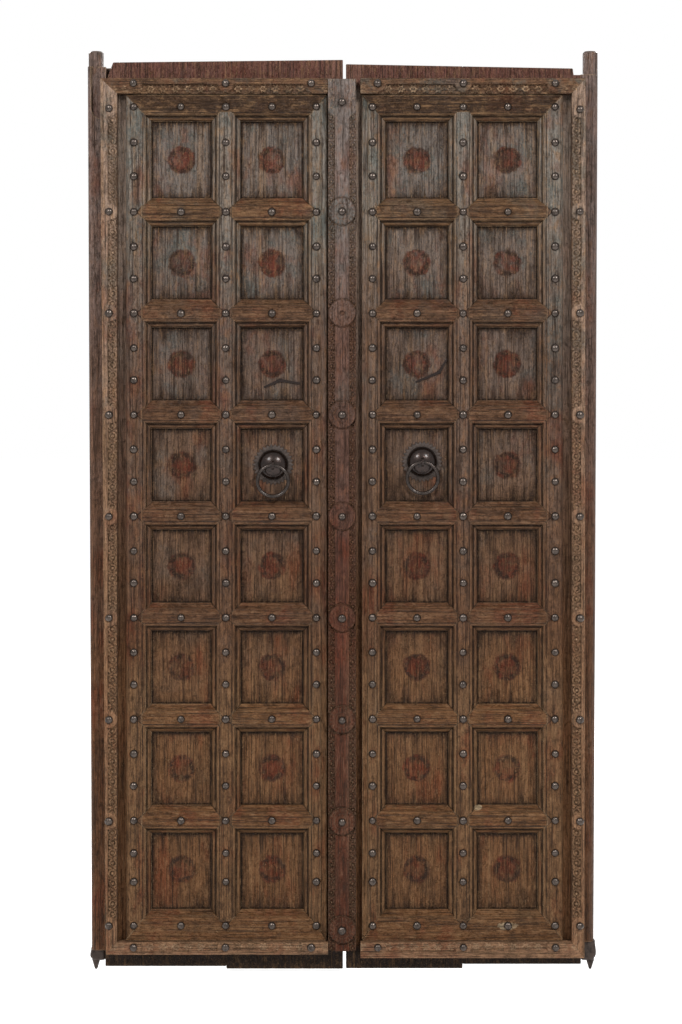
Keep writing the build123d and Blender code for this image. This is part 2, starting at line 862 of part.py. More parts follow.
    # Ring staple: an eye at the dome's nose on a square shank, with legs clenched on the back
    eye_depth = nose + eye_reach
    with BuildPart() as ring_staple:
        with BuildSketch(Plane.XZ.offset(plank_back)):
            with Locations(pull):
                Rectangle(staple_width, staple_width)
        extrude(amount=nose - plank_back)
        with BuildSketch(side_section.offset(-hand * pull_x)):
            with Locations((eye_depth, pull_z)):
                RegularPolygon(eye_radius, eye_facets, False)
            with Locations((midway(nose, eye_depth), pull_z)):
                Rectangle(eye_reach, staple_width)
            with Locations((nose - eye_radius, pull_z)):
                Rectangle(2 * eye_radius, 2 * eye_radius, mode=Mode.SUBTRACT)
            with Locations((eye_depth, pull_z)):
                RegularPolygon(eye_hole_radius, eye_facets, False, mode=Mode.SUBTRACT)
        extrude(amount=eye_thickness / 2, both=True)
        with BuildSketch(Plane.XZ.offset(plank_back)):
            with Locations(pull):
                Rectangle(staple_width, 2 * staple_leg)
        extrude(amount=-staple_leg_thickness)
    ring_staple.part.label = f"{side}_ring_staple"
    export_step(ring_staple.part, f"parts/{side}_ring_staple.step")

    # Pull ring: a forged ring that hangs plumb through the eye
    flat_turn = half_turn / ring_sides
    with BuildPart() as pull_ring:
        with BuildSketch(Plane.XZ.offset(eye_depth)):
            with Locations((hand * pull_x, pull_z - ring_radius)):
                RegularPolygon(ring_radius + ring_wire / 2, ring_sides, False, flat_turn)
                RegularPolygon(ring_radius - ring_wire / 2, ring_sides, False, flat_turn, mode=Mode.SUBTRACT)
        extrude(amount=ring_wire / 2, both=True)
        chamfer(pull_ring.edges().filter_by(Axis.Y, reverse=True), length=ring_chamfer)
    pull_ring.part.label = f"{side}_pull_ring"
    export_step(pull_ring.part, f"parts/{side}_pull_ring.step")

    # Split pin: driven through the plank, its two legs bent over on the face, its eye on the back
    split_x, split_z = leaf.split
    split = (hand * split_x, split_z)
    with BuildPart() as split_pin:
        with BuildSketch(Plane.XZ.offset(plank_back)):
            with Locations(split):
                Rectangle(split_width, split_width)
        extrude(amount=plank_thickness)
        with BuildSketch(Plane.XZ.offset(face)):
            with Locations(split):
                Rectangle(split_width, split_width)
            for angle, length in zip(leaf.split_angles, leaf.split_legs):
                with Locations(Location((split[0], split[1], 0), (0, 0, angle))):
                    Polygon(
                        (0, -split_width / 2),
                        (length, -split_tip_width / 2),
                        (length, split_tip_width / 2),
                        (0, split_width / 2),
                    )
        extrude(amount=split_leg_thickness)
        with BuildSketch(side_section.offset(-hand * split_x)):
            with Locations((plank_back - split_eye_radius, split_z)):
                RegularPolygon(split_eye_radius, split_eye_sides, rotation=half_turn / split_eye_sides)
                RegularPolygon(split_eye_hole, split_eye_sides, mode=Mode.SUBTRACT)
        extrude(amount=split_width / 2, both=True)
        with BuildSketch(Plane.XZ.offset(plank_back)):
            with Locations(split):
                Rectangle(split_width, split_width)
        extrude(amount=split_eye_hole - split_eye_radius)
    split_pin.part.label = f"{side}_split_pin"
    export_step(split_pin.part, f"parts/{side}_split_pin.step")

    # Studs: nail heads on the grid, the borders and, on the left leaf, the cover strip
    stud_xs = (midway(inner_flat_x, inner_bevel_x), muntin_mid, midway(outer_flat_x, grid_end))
    level_stud_xs = stud_xs + tuple(midway(start, end) for start, end in columns)
    level_stud_zs = [grid_top - top_stud_drop] + rail_zs + [grid_foot + foot_stud_rise]
    grid_studs = [(x, z) for z in level_stud_zs for x in level_stud_xs]
    for row_top, row_foot in rows:
        for share in stud_row_shares:
            grid_studs += [(x, row_top + (row_foot - row_top) * share) for x in stud_xs]
    border_studs = [(side_boss_x, z) for z in side_boss_zs]
    for boss_z in (top_boss_z, foot_boss_z):
        border_studs += [(x, boss_z) for x in (end_boss_x, muntin_mid, outer_boss_x)]
    cover_middle = midway(cover_left_x, cover_right_x)
    cover_foot_stud_z = cover_foot + cover_foot_stud_rise
    cover_stud_zs = [cover_top - cover_head_stud_drop] + rail_zs + [cover_foot_stud_z]
    cover_studs = [
        (cover_middle, z) for step, z in enumerate(cover_stud_zs) if step != cover_studs_above_lost_count
    ]
    stud_groups = [(flat_depth, sided(grid_studs, hand)), (face + border_depth, sided(border_studs, hand))]
    if side == "left":
        stud_groups.append((face + cover_depth, cover_studs))
    with BuildPart() as studs:
        with Locations(*[(x, -depth, z) for depth, places in stud_groups for x, z in places]):
            add(stud_head.part)
    studs.part.label = f"{side}_studs"
    export_step(studs.part, f"parts/{side}_studs.step")

# Pivot pins: they stand in the sill, each with a shoulder that carries its shoe
pin_places = [(leaf.hand * leaf.pivot_x, pivot_setback) for leaf in leaves]
with BuildPart() as pivot_pins:
    with BuildSketch(Plane.XY):
        with Locations(*pin_places):
            Circle(pin_radius)
    extrude(amount=pin_free_length - pin_thrust_gap)
    with BuildSketch(Plane.XY.offset(pin_free_length - pin_thrust_gap)):
        with Locations(*pin_places):
            Circle(pin_shank_radius)
    extrude(amount=pin_shank_length)
pivot_pins.part.label = "pivot_pins"
export_step(pivot_pins.part, "parts/pivot_pins.step")

# Centre cover strip: two carved bands, a plain fillet between them, round bosses and a square head
cover_boss_zs = rail_zs + [cover_foot_stud_z]
cover_low = face + cover_low_depth
cover_high = cover_low + cover_carving
fillet_left = cover_middle - cover_fillet_width / 2
fillet_right = cover_middle + cover_fillet_width / 2
cover_pitch = rail_pitch / teeth_per_bay
cover_teeth = int((cover_head_foot - cover_foot) / cover_pitch) + 1
cover_carving_foot = cover_head_foot - cover_pitch * cover_teeth
with BuildPart() as cover_strip:
    with BuildSketch(side_section.offset(-cover_middle)):
        crests = zigzag(cover_carving_foot, cover_head_foot, cover_teeth, cover_low, cover_high)
        Polygon(*turned([(cover_carving_foot, face)] + crests + [(cover_head_foot, face)]))
    extrude(amount=(cover_right_x - cover_left_x) / 2, both=True)
    with BuildSketch(level_section.offset(-cover_foot)):
        Polygon(
            (cover_left_x, face),
            (cover_left_x, cover_low),
            (midway(cover_left_x, fillet_left), cover_high),
            (fillet_left, cover_low),
            (fillet_right, cover_low),
            (midway(fillet_right, cover_right_x), cover_high),
            (cover_right_x, cover_low),
            (cover_right_x, face),
        )
    extrude(amount=cover_top, both=True, mode=Mode.INTERSECT)
    with BuildSketch(Plane.XZ.offset(face)):
        with Locations((cover_middle, midway(cover_foot, cover_top))):
            Rectangle(cover_fillet_width, cover_top - cover_foot)
        with Locations((cover_middle, midway(cover_head_foot, cover_top))):
            Rectangle(cover_right_x - cover_left_x, cover_top - cover_head_foot)
        with Locations(*[(cover_middle, z) for z in cover_boss_zs]):
            RegularPolygon(cover_boss_radius, boss_facets)
    extrude(amount=cover_depth)
    with BuildSketch(Plane.XZ.offset(face)):
        with Locations((cover_middle, midway(cover_foot, cover_top))):
            Rectangle(cover_right_x - cover_left_x, cover_top - cover_foot)
        with Locations((cover_left_x, cover_head_foot), (cover_right_x, cover_head_foot)):
            RegularPolygon(cover_shoulder, shoulder_sides, mode=Mode.SUBTRACT)
    extrude(amount=cover_depth, mode=Mode.INTERSECT)
    with BuildSketch(Plane.XZ.offset(face)):
        with Locations((midway(0, cover_right_x), midway(cover_foot, cover_top))):
            Rectangle(cover_right_x + seam_gap, cover_top - cover_foot)
    extrude(amount=cover_lap_gap, mode=Mode.SUBTRACT)
cover_strip.part.label = "centre_cover_strip"
export_step(cover_strip.part, "parts/centre_cover_strip.step")
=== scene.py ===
"""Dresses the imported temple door: worn wood, carved borders, forged iron and a plain studio.

All sizes are metres in the door's own frame: X runs along the door from the seam, Y into the
building, and Z up from the tips of the bottom pivot pins. A depth is counted from the middle of
the planks towards the viewer, so Y is minus the depth.
"""

import logging
import math
from collections.abc import Mapping
from dataclasses import dataclass
from enum import Enum
from types import MappingProxyType

import bmesh
import bpy
import numpy as np
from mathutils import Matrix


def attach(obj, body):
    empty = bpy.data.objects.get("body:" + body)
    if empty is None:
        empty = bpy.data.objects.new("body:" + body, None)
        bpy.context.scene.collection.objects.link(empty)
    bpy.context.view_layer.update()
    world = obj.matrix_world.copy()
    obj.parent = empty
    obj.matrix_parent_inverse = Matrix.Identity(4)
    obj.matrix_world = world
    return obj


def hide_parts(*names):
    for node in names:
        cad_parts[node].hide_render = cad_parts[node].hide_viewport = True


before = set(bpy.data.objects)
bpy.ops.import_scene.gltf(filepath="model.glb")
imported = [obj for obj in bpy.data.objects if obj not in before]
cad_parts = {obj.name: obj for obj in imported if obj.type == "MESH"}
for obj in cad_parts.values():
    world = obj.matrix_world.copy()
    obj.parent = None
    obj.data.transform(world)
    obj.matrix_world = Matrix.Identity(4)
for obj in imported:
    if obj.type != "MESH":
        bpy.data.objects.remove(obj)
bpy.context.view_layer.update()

log = logging.getLogger("temple_door")

Array = np.ndarray
Colour = tuple[int, int, int]
Place = tuple[float, float]
Socket = bpy.types.NodeSocket
Inputs = Mapping[str | int, object]

# The door's own sizes that several pieces share
FACE_DEPTH = 0.016
ROW_PITCH = 0.2355
FIRST_RAIL = 1.771
RAIL_HEIGHTS = tuple(FIRST_RAIL - ROW_PITCH * step for step in range(7))
SEVENTH_ROW = 0.47575
TOP_ROW_SHIFT = 0.00425
PANEL_MIDDLES = (0.1685, 0.3795)
INNER_FLAT_END = 0.075
MUNTIN_MIDDLE = 0.2755
HALF_MUNTIN = 0.0135
OUTER_FLAT_START = 0.47
TOP_FLAT_FOOT = 2.003
BOTTOM_FLAT_TOP = 0.127
HALF_RAIL = 0.012
BEVEL = 0.021
LOW_BOSS = 0.116
SOFT_EDGE = 0.001
BOSS_EDGE = 0.0008
GROOVE_OFFSET = 0.0018
GROOVE_WIDTH = 0.0016

# The ring pulls' eyes, along from the seam and up
LEFT_PULL = (0.166, 1.18325)
RIGHT_PULL = (0.181, 1.19025)


class Leaf(Enum):
    """The two leaves, each with the side of the seam it stands on."""

    LEFT = -1
    RIGHT = 1

    @property
    def label(self) -> str:
        """The leaf's name as the nodes spell it."""
        return self.name.lower()

    @property
    def body(self) -> str:
        """The body that the leaf's pieces ride on."""
        return f"{self.label}_leaf"


class Grain(Enum):
    """The way the fibres run."""

    UPRIGHT = "upright"
    LEVEL = "level"

    def axes(self, aside: float, along: float) -> tuple[float, float, float]:
        """One number for both axes across the fibres and another for the axis along them."""
        return (aside, aside, along) if self is Grain.UPRIGHT else (along, aside, aside)


def linear(colour: Colour) -> tuple[float, float, float, float]:
    """Turns a display colour into scene-linear light, by the display curve and its straight foot.

    Args:
        colour: Red, green and blue, from 0 to 255.

    Returns:
        Red, green, blue and a full alpha, from 0 to 1.
    """
    share = np.array(colour) / 255
    value = np.where(share <= 0.04045, share / 12.92, ((share + 0.055) / 1.055) ** 2.4)
    return (*value.tolist(), 1.0)


def ease(low: float, high: float, value: Array) -> Array:
    """Rises smoothly from 0 at low to 1 at high: the cubic 3t² - 2t³ of the clipped share t.

    Args:
        low: Where the rise starts.
        high: Where it ends.
        value: The values to look up.

    Returns:
        A share from 0 to 1 for each value.
    """
    t = np.clip((value - low) / (high - low), 0, 1)
    return t * t * (3 - 2 * t)


def between(first: float | Array, last: float | Array, share: Array) -> Array:
    """Goes straight from a first value to a last one by a share."""
    return first + (last - first) * share


def circle(sides: int) -> Array:
    """The angles of evenly spaced points round a full turn."""
    return np.linspace(0, 2 * math.pi, sides, endpoint=False)


def as_points(x: Array, y: Array, z: Array) -> Array:
    """One line of three coordinates for each place of a grid."""
    return np.stack([x, y, z], axis=-1).reshape(-1, 3)


def wander(x: Array, z: Array, size: float, seed: int) -> Array:
    """A smooth uneven field: the mean of eight sine waves that run in seeded directions.

    Args:
        x: Places along the door.
        z: Places up the door.
        size: The length of the longest waves.
        seed: Which field it is.

    Returns:
        Values from -1 to 1.
    """
    rng = np.random.default_rng(seed)
    angle = rng.uniform(0, 2 * math.pi, 8)
    phase = rng.uniform(0, 2 * math.pi, 8)
    beat = 2 * math.pi / (size * rng.uniform(0.35, 1, 8))
    run = np.multiply.outer(x, np.cos(angle)) + np.multiply.outer(z, np.sin(angle))
    return np.sin(run * beat + phase).mean(axis=-1)


def grid_faces(rows: int, columns: int, closed: bool) -> Array:
    """Numbers the four corners of every cell in a grid of points.

    Args:
        rows: Rows of points.
        columns: Points in a row.
        closed: Whether the last column joins the first.

    Returns:
        One line of four point numbers for each cell.
    """
    point = np.arange(rows * columns).reshape(rows, columns)
    if closed:
        point = np.concatenate([point, point[:, :1]], axis=1)
    corners = (point[:-1, :-1], point[:-1, 1:], point[1:, 1:], point[1:, :-1])
    return np.stack(corners, axis=-1).reshape(-1, 4)


def make_piece(
    name: str, points: Array, faces: Array, relief: Array | None = None, smooth: bool = True
) -> bpy.types.Object:
    """Puts worked-out points and faces into a closed mesh whose faces point outwards.

    Args:
        name: The piece's name.
        points: One line of three coordinates for each point.
        faces: One line of point numbers for each face.
        relief: How high each point stands in a carving, from 0 to 1, kept as an attribute.
        smooth: Whether its faces are shaded as one round surface.

    Returns:
        The new object, at the origin.
    """
    mesh = bpy.data.meshes.new(name)
    mesh.from_pydata(points.tolist(), [], faces.tolist())
    if relief is not None:
        mesh.attributes.new("relief", "FLOAT", "POINT").data.foreach_set("value", relief.astype(np.float32))
    work = bmesh.new()
    work.from_mesh(mesh)
    bmesh.ops.remove_doubles(work, verts=work.verts, dist=1e-6)
    bmesh.ops.recalc_face_normals(work, faces=work.faces)
    work.to_mesh(mesh)
    work.free()
    mesh.polygons.foreach_set("use_smooth", np.full(len(mesh.polygons), smooth))
    piece = bpy.data.objects.new(name, mesh)
    bpy.context.scene.collection.objects.link(piece)
    return piece


def set_piece(piece: bpy.types.Object, finish: bpy.types.Material, body: str, slot: str, *nodes: str) -> None:
    """Dresses a new piece, hangs it on its body and lets it stand for the nodes it replaces.

    Args:
        piece: The new piece.
        finish: Its material.
        body: The body it rides on.
        slot: The record's material slot; not used.
        nodes: The nodes it stands for.
    """
    piece.data.materials.append(finish)
    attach(piece, body)
    if nodes:
        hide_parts(*nodes)
    log.info("%s rides on %s, %d faces", piece.name, body, len(piece.data.polygons))


class Value:
    """A number, a colour or a place worked out by nodes; arithmetic with it adds the nodes."""

    def __init__(self, bench: "Bench", socket: Socket) -> None:
        """Keeps a node's output.

        Args:
            bench: The node tree.
            socket: The output.
        """
        self.bench = bench
        self.socket = socket

    def math(self, operation: str, *others: "Value | float") -> "Value":
        """One step of arithmetic with other values."""
        return self.bench.value("ShaderNodeMath", dict(enumerate((self, *others))), operation=operation)

    def __add__(self, other: "Value | float") -> "Value":
        """Both together."""
        return self.math("ADD", other)

    def __sub__(self, other: "Value | float") -> "Value":
        """This value less another."""
        return self.math("SUBTRACT", other)

    def __rsub__(self, other: float) -> "Value":
        """A number less this value."""
        return self.math("MULTIPLY_ADD", -1.0, other)

    def __mul__(self, other: "Value | float") -> "Value":
        """This value times another."""
        return self.math("MULTIPLY", other)

    def __truediv__(self, other: "Value | float") -> "Value":
        """This value over another."""
        return self.math("DIVIDE", other)

    def __abs__(self) -> "Value":
        """This value without its sign."""
        return self.math("ABSOLUTE")

    def least(self, other: "Value | float") -> "Value":
        """The lesser of both."""
        return self.math("MINIMUM", other)

    def most(self, other: "Value | float") -> "Value":
        """The greater of both."""
        return self.math("MAXIMUM", other)

    def ramp(self, low: float, high: float, top: float = 1.0) -> "Value":
        """Rises smoothly from 0, where this value is low, to top, where it is high."""
        inputs = {"Value": self, "From Min": low, "From Max": high, "To Max": top}
        return self.bench.value("ShaderNodeMapRange", inputs, interpolation_type="SMOOTHSTEP")

    def split(self) -> "list[Value]":
        """The three coordinates of a place."""
        outputs = self.bench.add("ShaderNodeSeparateXYZ", {0: self}).outputs
        return [Value(self.bench, output) for output in outputs]

    def stretch(self, scale: tuple[float, float, float]) -> "Value":
        """A place scaled along each axis."""
        return self.bench.value("ShaderNodeMapping", {"Vector": self, "Scale": scale})

    def noise(self, scale: float, detail: float, rough: float) -> "Value":
        """Cloudy noise from 0 to 1 at a place, by its repeats, its finer layers and their strength."""
        inputs = {"Vector": self, "Scale": scale, "Detail": detail, "Roughness": rough}
        return self.bench.value("ShaderNodeTexNoise", inputs, "Fac")


class Bench:
    """The node tree of a material or of the world."""

    def __init__(self, owner: bpy.types.ID, shader: str = "Principled BSDF") -> None:
        """Opens the tree.

        Args:
            owner: The new material or world.
            shader: The name of its shader node.
        """
        owner.use_nodes = True
        self.owner = owner
        self.tree = owner.node_tree
        self.shader = self.tree.nodes[shader]

    def feed(self, node: bpy.types.Node, inputs: Inputs) -> None:
        """Links a node's inputs to values, or writes plain numbers and colours on them.

        Args:
            node: The node.
            inputs: What each input gets, by its name or number.
        """
        for key, value in inputs.items():
            if isinstance(value, Value):
                self.tree.links.new(value.socket, node.inputs[key])
            else:
                node.inputs[key].default_value = value

    def add(self, kind: str, inputs: Inputs, **settings: object) -> bpy.types.Node:
        """Adds a node, sets its options and feeds it.

        Args:
            kind: The node's type name.
            inputs: What its inputs get.
            settings: Its options by name.

        Returns:
            The node.
        """
        node = self.tree.nodes.new(kind)
        for key, value in settings.items():
            setattr(node, key, value)
        self.feed(node, inputs)
        return node

    def value(
        self, kind: str, inputs: Inputs = MappingProxyType({}), output: str | int = 0, **settings: object
    ) -> Value:
        """Adds a node and hands over one of its outputs."""
        return Value(self, self.add(kind, inputs, **settings).outputs[output])

    def place(self) -> Value:
        """The piece's own coordinates."""
        return self.value("ShaderNodeTexCoord", output="Object")

    def mix(self, share: object, first: object, second: object, blend: str = "MIX") -> Value:
        """Mixes two colours by a share, or blends them in another way."""
        inputs = {0: share, 6: first, 7: second}
        return self.value("ShaderNodeMix", inputs, 2, data_type="RGBA", blend_type=blend)

    def edges(self, radius: float) -> Value:
        """How near an edge a place is: 0 on a flat, rising as its rounded normal leaves the flat one.

        Args:
            radius: How far from an edge the rise starts.

        Returns:
            One less the dot product of both normals.
        """
        rounded = self.value("ShaderNodeBevel", {"Radius": radius}, samples=4)
        flat = self.value("ShaderNodeNewGeometry", output="Normal")
        normals = {0: rounded, 1: flat}
        return 1.0 - self.value("ShaderNodeVectorMath", normals, "Value", operation="DOT_PRODUCT")

    def relief(self) -> Value:
        """How high a place stands in its carving."""
        return self.value("ShaderNodeAttribute", output="Fac", attribute_name="relief")

    def seen(self) -> Value:
        """Whether it is seen by the camera or in the metal."""
        camera = self.value("ShaderNodeLightPath", output="Is Camera Ray")
        return camera.most(self.value("ShaderNodeLightPath", output="Is Glossy Ray"))

    def bump(self, height: Value, distance: float, strength: float) -> None:
        """Raises the surface by a height, for light only."""
        inputs = {"Distance": distance, "Strength": strength, "Height": height}
        self.feed(self.shader, {"Normal": self.value("ShaderNodeBump", inputs)})

    def close(self, colour: Value, roughness: Value) -> bpy.types.Material:
        """Feeds the shader and hands over the material."""
        self.feed(self.shader, {"Base Color": colour, "Roughness": roughness})
        return self.owner


def distance(across: Value, up: Value) -> Value:
    """The straight distance of two offsets."""
    return (across * across + up * up).math("SQRT")


class GridLines:
    """Where a place lies on the applied grid, worked out in nodes from its coordinates."""

    def __init__(self, place: Value) -> None:
        """Reads the place's coordinates.

        Args:
            place: The piece's coordinates.
        """
        x, self.y, self.z = place.split()
        self.side = x.math("SIGN")
        self.along = abs(x)

    def over_rail(self) -> Value:
        """How far over the nearest cross rail's middle it is, by the rail's rounded number."""
        drop = (FIRST_RAIL - self.z) / ROW_PITCH
        number = drop.math("ROUND").most(0.0).least(len(RAIL_HEIGHTS) - 1.0)
        return self.z - (number * -ROW_PITCH + FIRST_RAIL)

    def to_rail(self) -> Value:
        """How far up or down the nearest cross rail's middle is."""
        return abs(self.over_rail())

    def above_panel(self) -> Value:
        """Whether it is on the lower side of a cross rail or on the top rail, which have beads."""
        under = self.over_rail().ramp(0.0, -0.004) * self.z.ramp(0.2, 0.21)
        return under.most(self.z.ramp(1.9, 1.91))

    def to_muntin(self) -> Value:
        """How far aside the muntin's middle is."""
        return abs(self.along - MUNTIN_MIDDLE)

    def past_upright(self) -> Value:
        """How far past the flat of the nearest stile or muntin it is, and below zero on the flat."""
        stiles = (self.along - INNER_FLAT_END).least(OUTER_FLAT_START - self.along)
        return stiles.least(self.to_muntin() - HALF_MUNTIN)

    def past_ends(self) -> Value:
        """How far past the flats of the top and bottom rails it is, and below zero on them."""
        return (TOP_FLAT_FOOT - self.z).least(self.z - BOTTOM_FLAT_TOP)

    def past_level(self) -> Value:
        """How far past the flat of the nearest rail it is, and below zero on the flat."""
        return self.past_ends().least(self.to_rail() - HALF_RAIL)

    def to_roundel(self) -> Value:
        """The distance to the nearest panel's middle: both coordinates are folded onto one panel.

        Returns:
            The distance.
        """
        centre = sum(PANEL_MIDDLES) / 2
        across = abs(self.along - centre) - (PANEL_MIDDLES[1] - centre)
        level = self.z - self.z.ramp(FIRST_RAIL - 0.001, FIRST_RAIL + 0.004, TOP_ROW_SHIFT)
        up = (level - SEVENTH_ROW).math("WRAP", ROW_PITCH / 2, -ROW_PITCH / 2)
        return distance(across, up)

    def to_pull(self, drop: float) -> Value:
        """The distance to a point below the nearer ring pull's eye, whose place is chosen by the side.

        Args:
            drop: How far below the eye the point is.

        Returns:
            The distance.
        """
        pull_x, pull_z = (
            self.side * ((right - left) / 2) + (right + left) / 2
            for left, right in zip(LEFT_PULL, RIGHT_PULL)
        )
        return distance(self.along - pull_x, self.z - (pull_z - drop))


Layer = tuple[Value, float, float, float, Colour]


class Coat:
    """A piece's colour, built up in layers, each laid over the last by a share."""

    def __init__(self, place: Value, colour: Value) -> None:
        """Starts from the lowest layer.

        Args:
            place: The piece's coordinates.
            colour: The lowest layer.
        """
        self.bench = place.bench
        self.place = place
        self.colour = colour

    def lay(self, share: Value, tone: Colour, blend: str = "MIX") -> None:
        """Lays a tone over the coat."""
        self.colour = self.bench.mix(share, self.colour, linear(tone), blend)

    def lay_all(self, *layers: Layer) -> None:
        """Lays each tone by a share that rises to its strength as a value goes from low to high."""
        for value, low, high, strength, tone in layers:
            self.lay(value.ramp(low, high, strength), tone)


@dataclass(frozen=True)
class WoodFinish:
    """Old oiled wood: fibres, flecks, a tone that greys towards the top, patina, and edges pale from wear and
    from a painted highlight.
    """

    name: str
    upper: Colour
    lower: Colour
    grain: Grain
    dark: Colour = (42, 28, 19)
    pale: Colour = (146, 112, 80)
    # Pale for flecks of wear, and on the edges also a painted highlight.
    worn: Colour = (176, 148, 116)
    red: Colour = (112, 56, 34)
    patina: Colour = (74, 90, 88)
    patina_share: float = 0.5
    # Dark for real cracks and mitre lines, and painted shade at the panels' edges, under the rails and in the
    # beads' hollows.
    grime_and_shade: Colour = (16, 11, 9)
    handled: Colour = (255, 255, 255)
    edge_wear_glint_share: float = 0.85
    edge_wear_glint_radius: float = 0.004
    streaks: float = 0.65
    roughness: float = 0.42
    shine: float = 0.12
    bump: float = 0.002

    def paint(self, coat: Coat) -> Value | None:
        """Adds what only some pieces carry, and gives its height, if any; plain wood carries nothing more."""
        return None

    def material(self) -> bpy.types.Material:
        """Builds the finish.

        Returns:
            The material: red and grey clouds, fibres at two widths, specks, short pale flecks where
            the surface is rubbed, patina in patches that thicken upwards, pale wear and a painted
            highlight along edges, and a darker tone within a hand's reach.
        """
        bench = Bench(bpy.data.materials.new(self.name))
        place = bench.place()
        height = place.split()[2]
        fibres = place.stretch(self.grain.axes(420.0, 9.0))
        fine = fibres.noise(0.8, 4.0, 0.75)
        thread = fibres.noise(0.6, 3.0, 0.75)
        broad = fibres.noise(0.13, 4.0, 0.65)
        fleck = fibres.stretch(self.grain.axes(0.8, 12.0)).noise(0.7, 4.0, 0.75)
        mottle = fibres.stretch(self.grain.axes(0.2, 4.0)).noise(1.0, 5.0, 0.7)
        speck = place.noise(330.0, 3.0, 0.75)
        cloud = place.noise(4.5, 5.0, 0.65)
        stain = place.stretch((1.0, 1.0, 0.5)).noise(13.0, 5.0, 0.65)
        rise = (cloud * 1.2 + height).ramp(1.1, 2.6)
        coat = Coat(place, bench.mix(rise, linear(self.lower), linear(self.upper)))
        coat.lay_all(
            (stain, 0.5, 0.68, 0.65, self.red),
            (stain, 0.46, 0.3, 0.6, self.dark),
            (broad, 0.5, 0.7, 0.45, self.pale),
        )
        coat.lay(place.noise(9.0, 6.0, 0.72).ramp(0.5, 0.62, self.patina_share) * rise, self.patina)
        raised = self.paint(coat)
        coat.lay_all(
            (mottle, 0.5, 0.7, self.streaks, self.pale),
            (mottle, 0.5, 0.3, self.streaks, self.dark),
            (speck, 0.52, 0.72, 0.5, self.pale),
            (speck, 0.48, 0.3, 0.6, self.dark),
            (thread, 0.48, 0.36, 0.75, self.dark),
            (thread, 0.56, 0.7, 0.5, self.pale),
            (fine, 0.5, 0.62, 0.6, self.dark),
            (fleck, 0.6, 0.74, 0.45, self.worn),
        )
        # Pale along the edges: partly wear, partly a painted highlight.
        edges = bench.edges(self.edge_wear_glint_radius).ramp(0.02, 0.16)
        coat.lay(edges * fleck.ramp(0.36, 0.56) * self.edge_wear_glint_share, self.worn)
        level = cloud * 0.3 + height
        coat.lay(level.ramp(1.88, 1.62) * level.ramp(0.75, 0.98), self.handled, "MULTIPLY")
        rough = thread * 2.2 + fine + fleck.ramp(0.5, 0.7)
        bench.bump(rough if raised is None else rough + raised, self.bump, 1.0)
        bench.feed(bench.shader, {"Specular IOR Level": self.shine})
        return bench.close(coat.colour, thread * 0.4 + (self.roughness - 0.2))


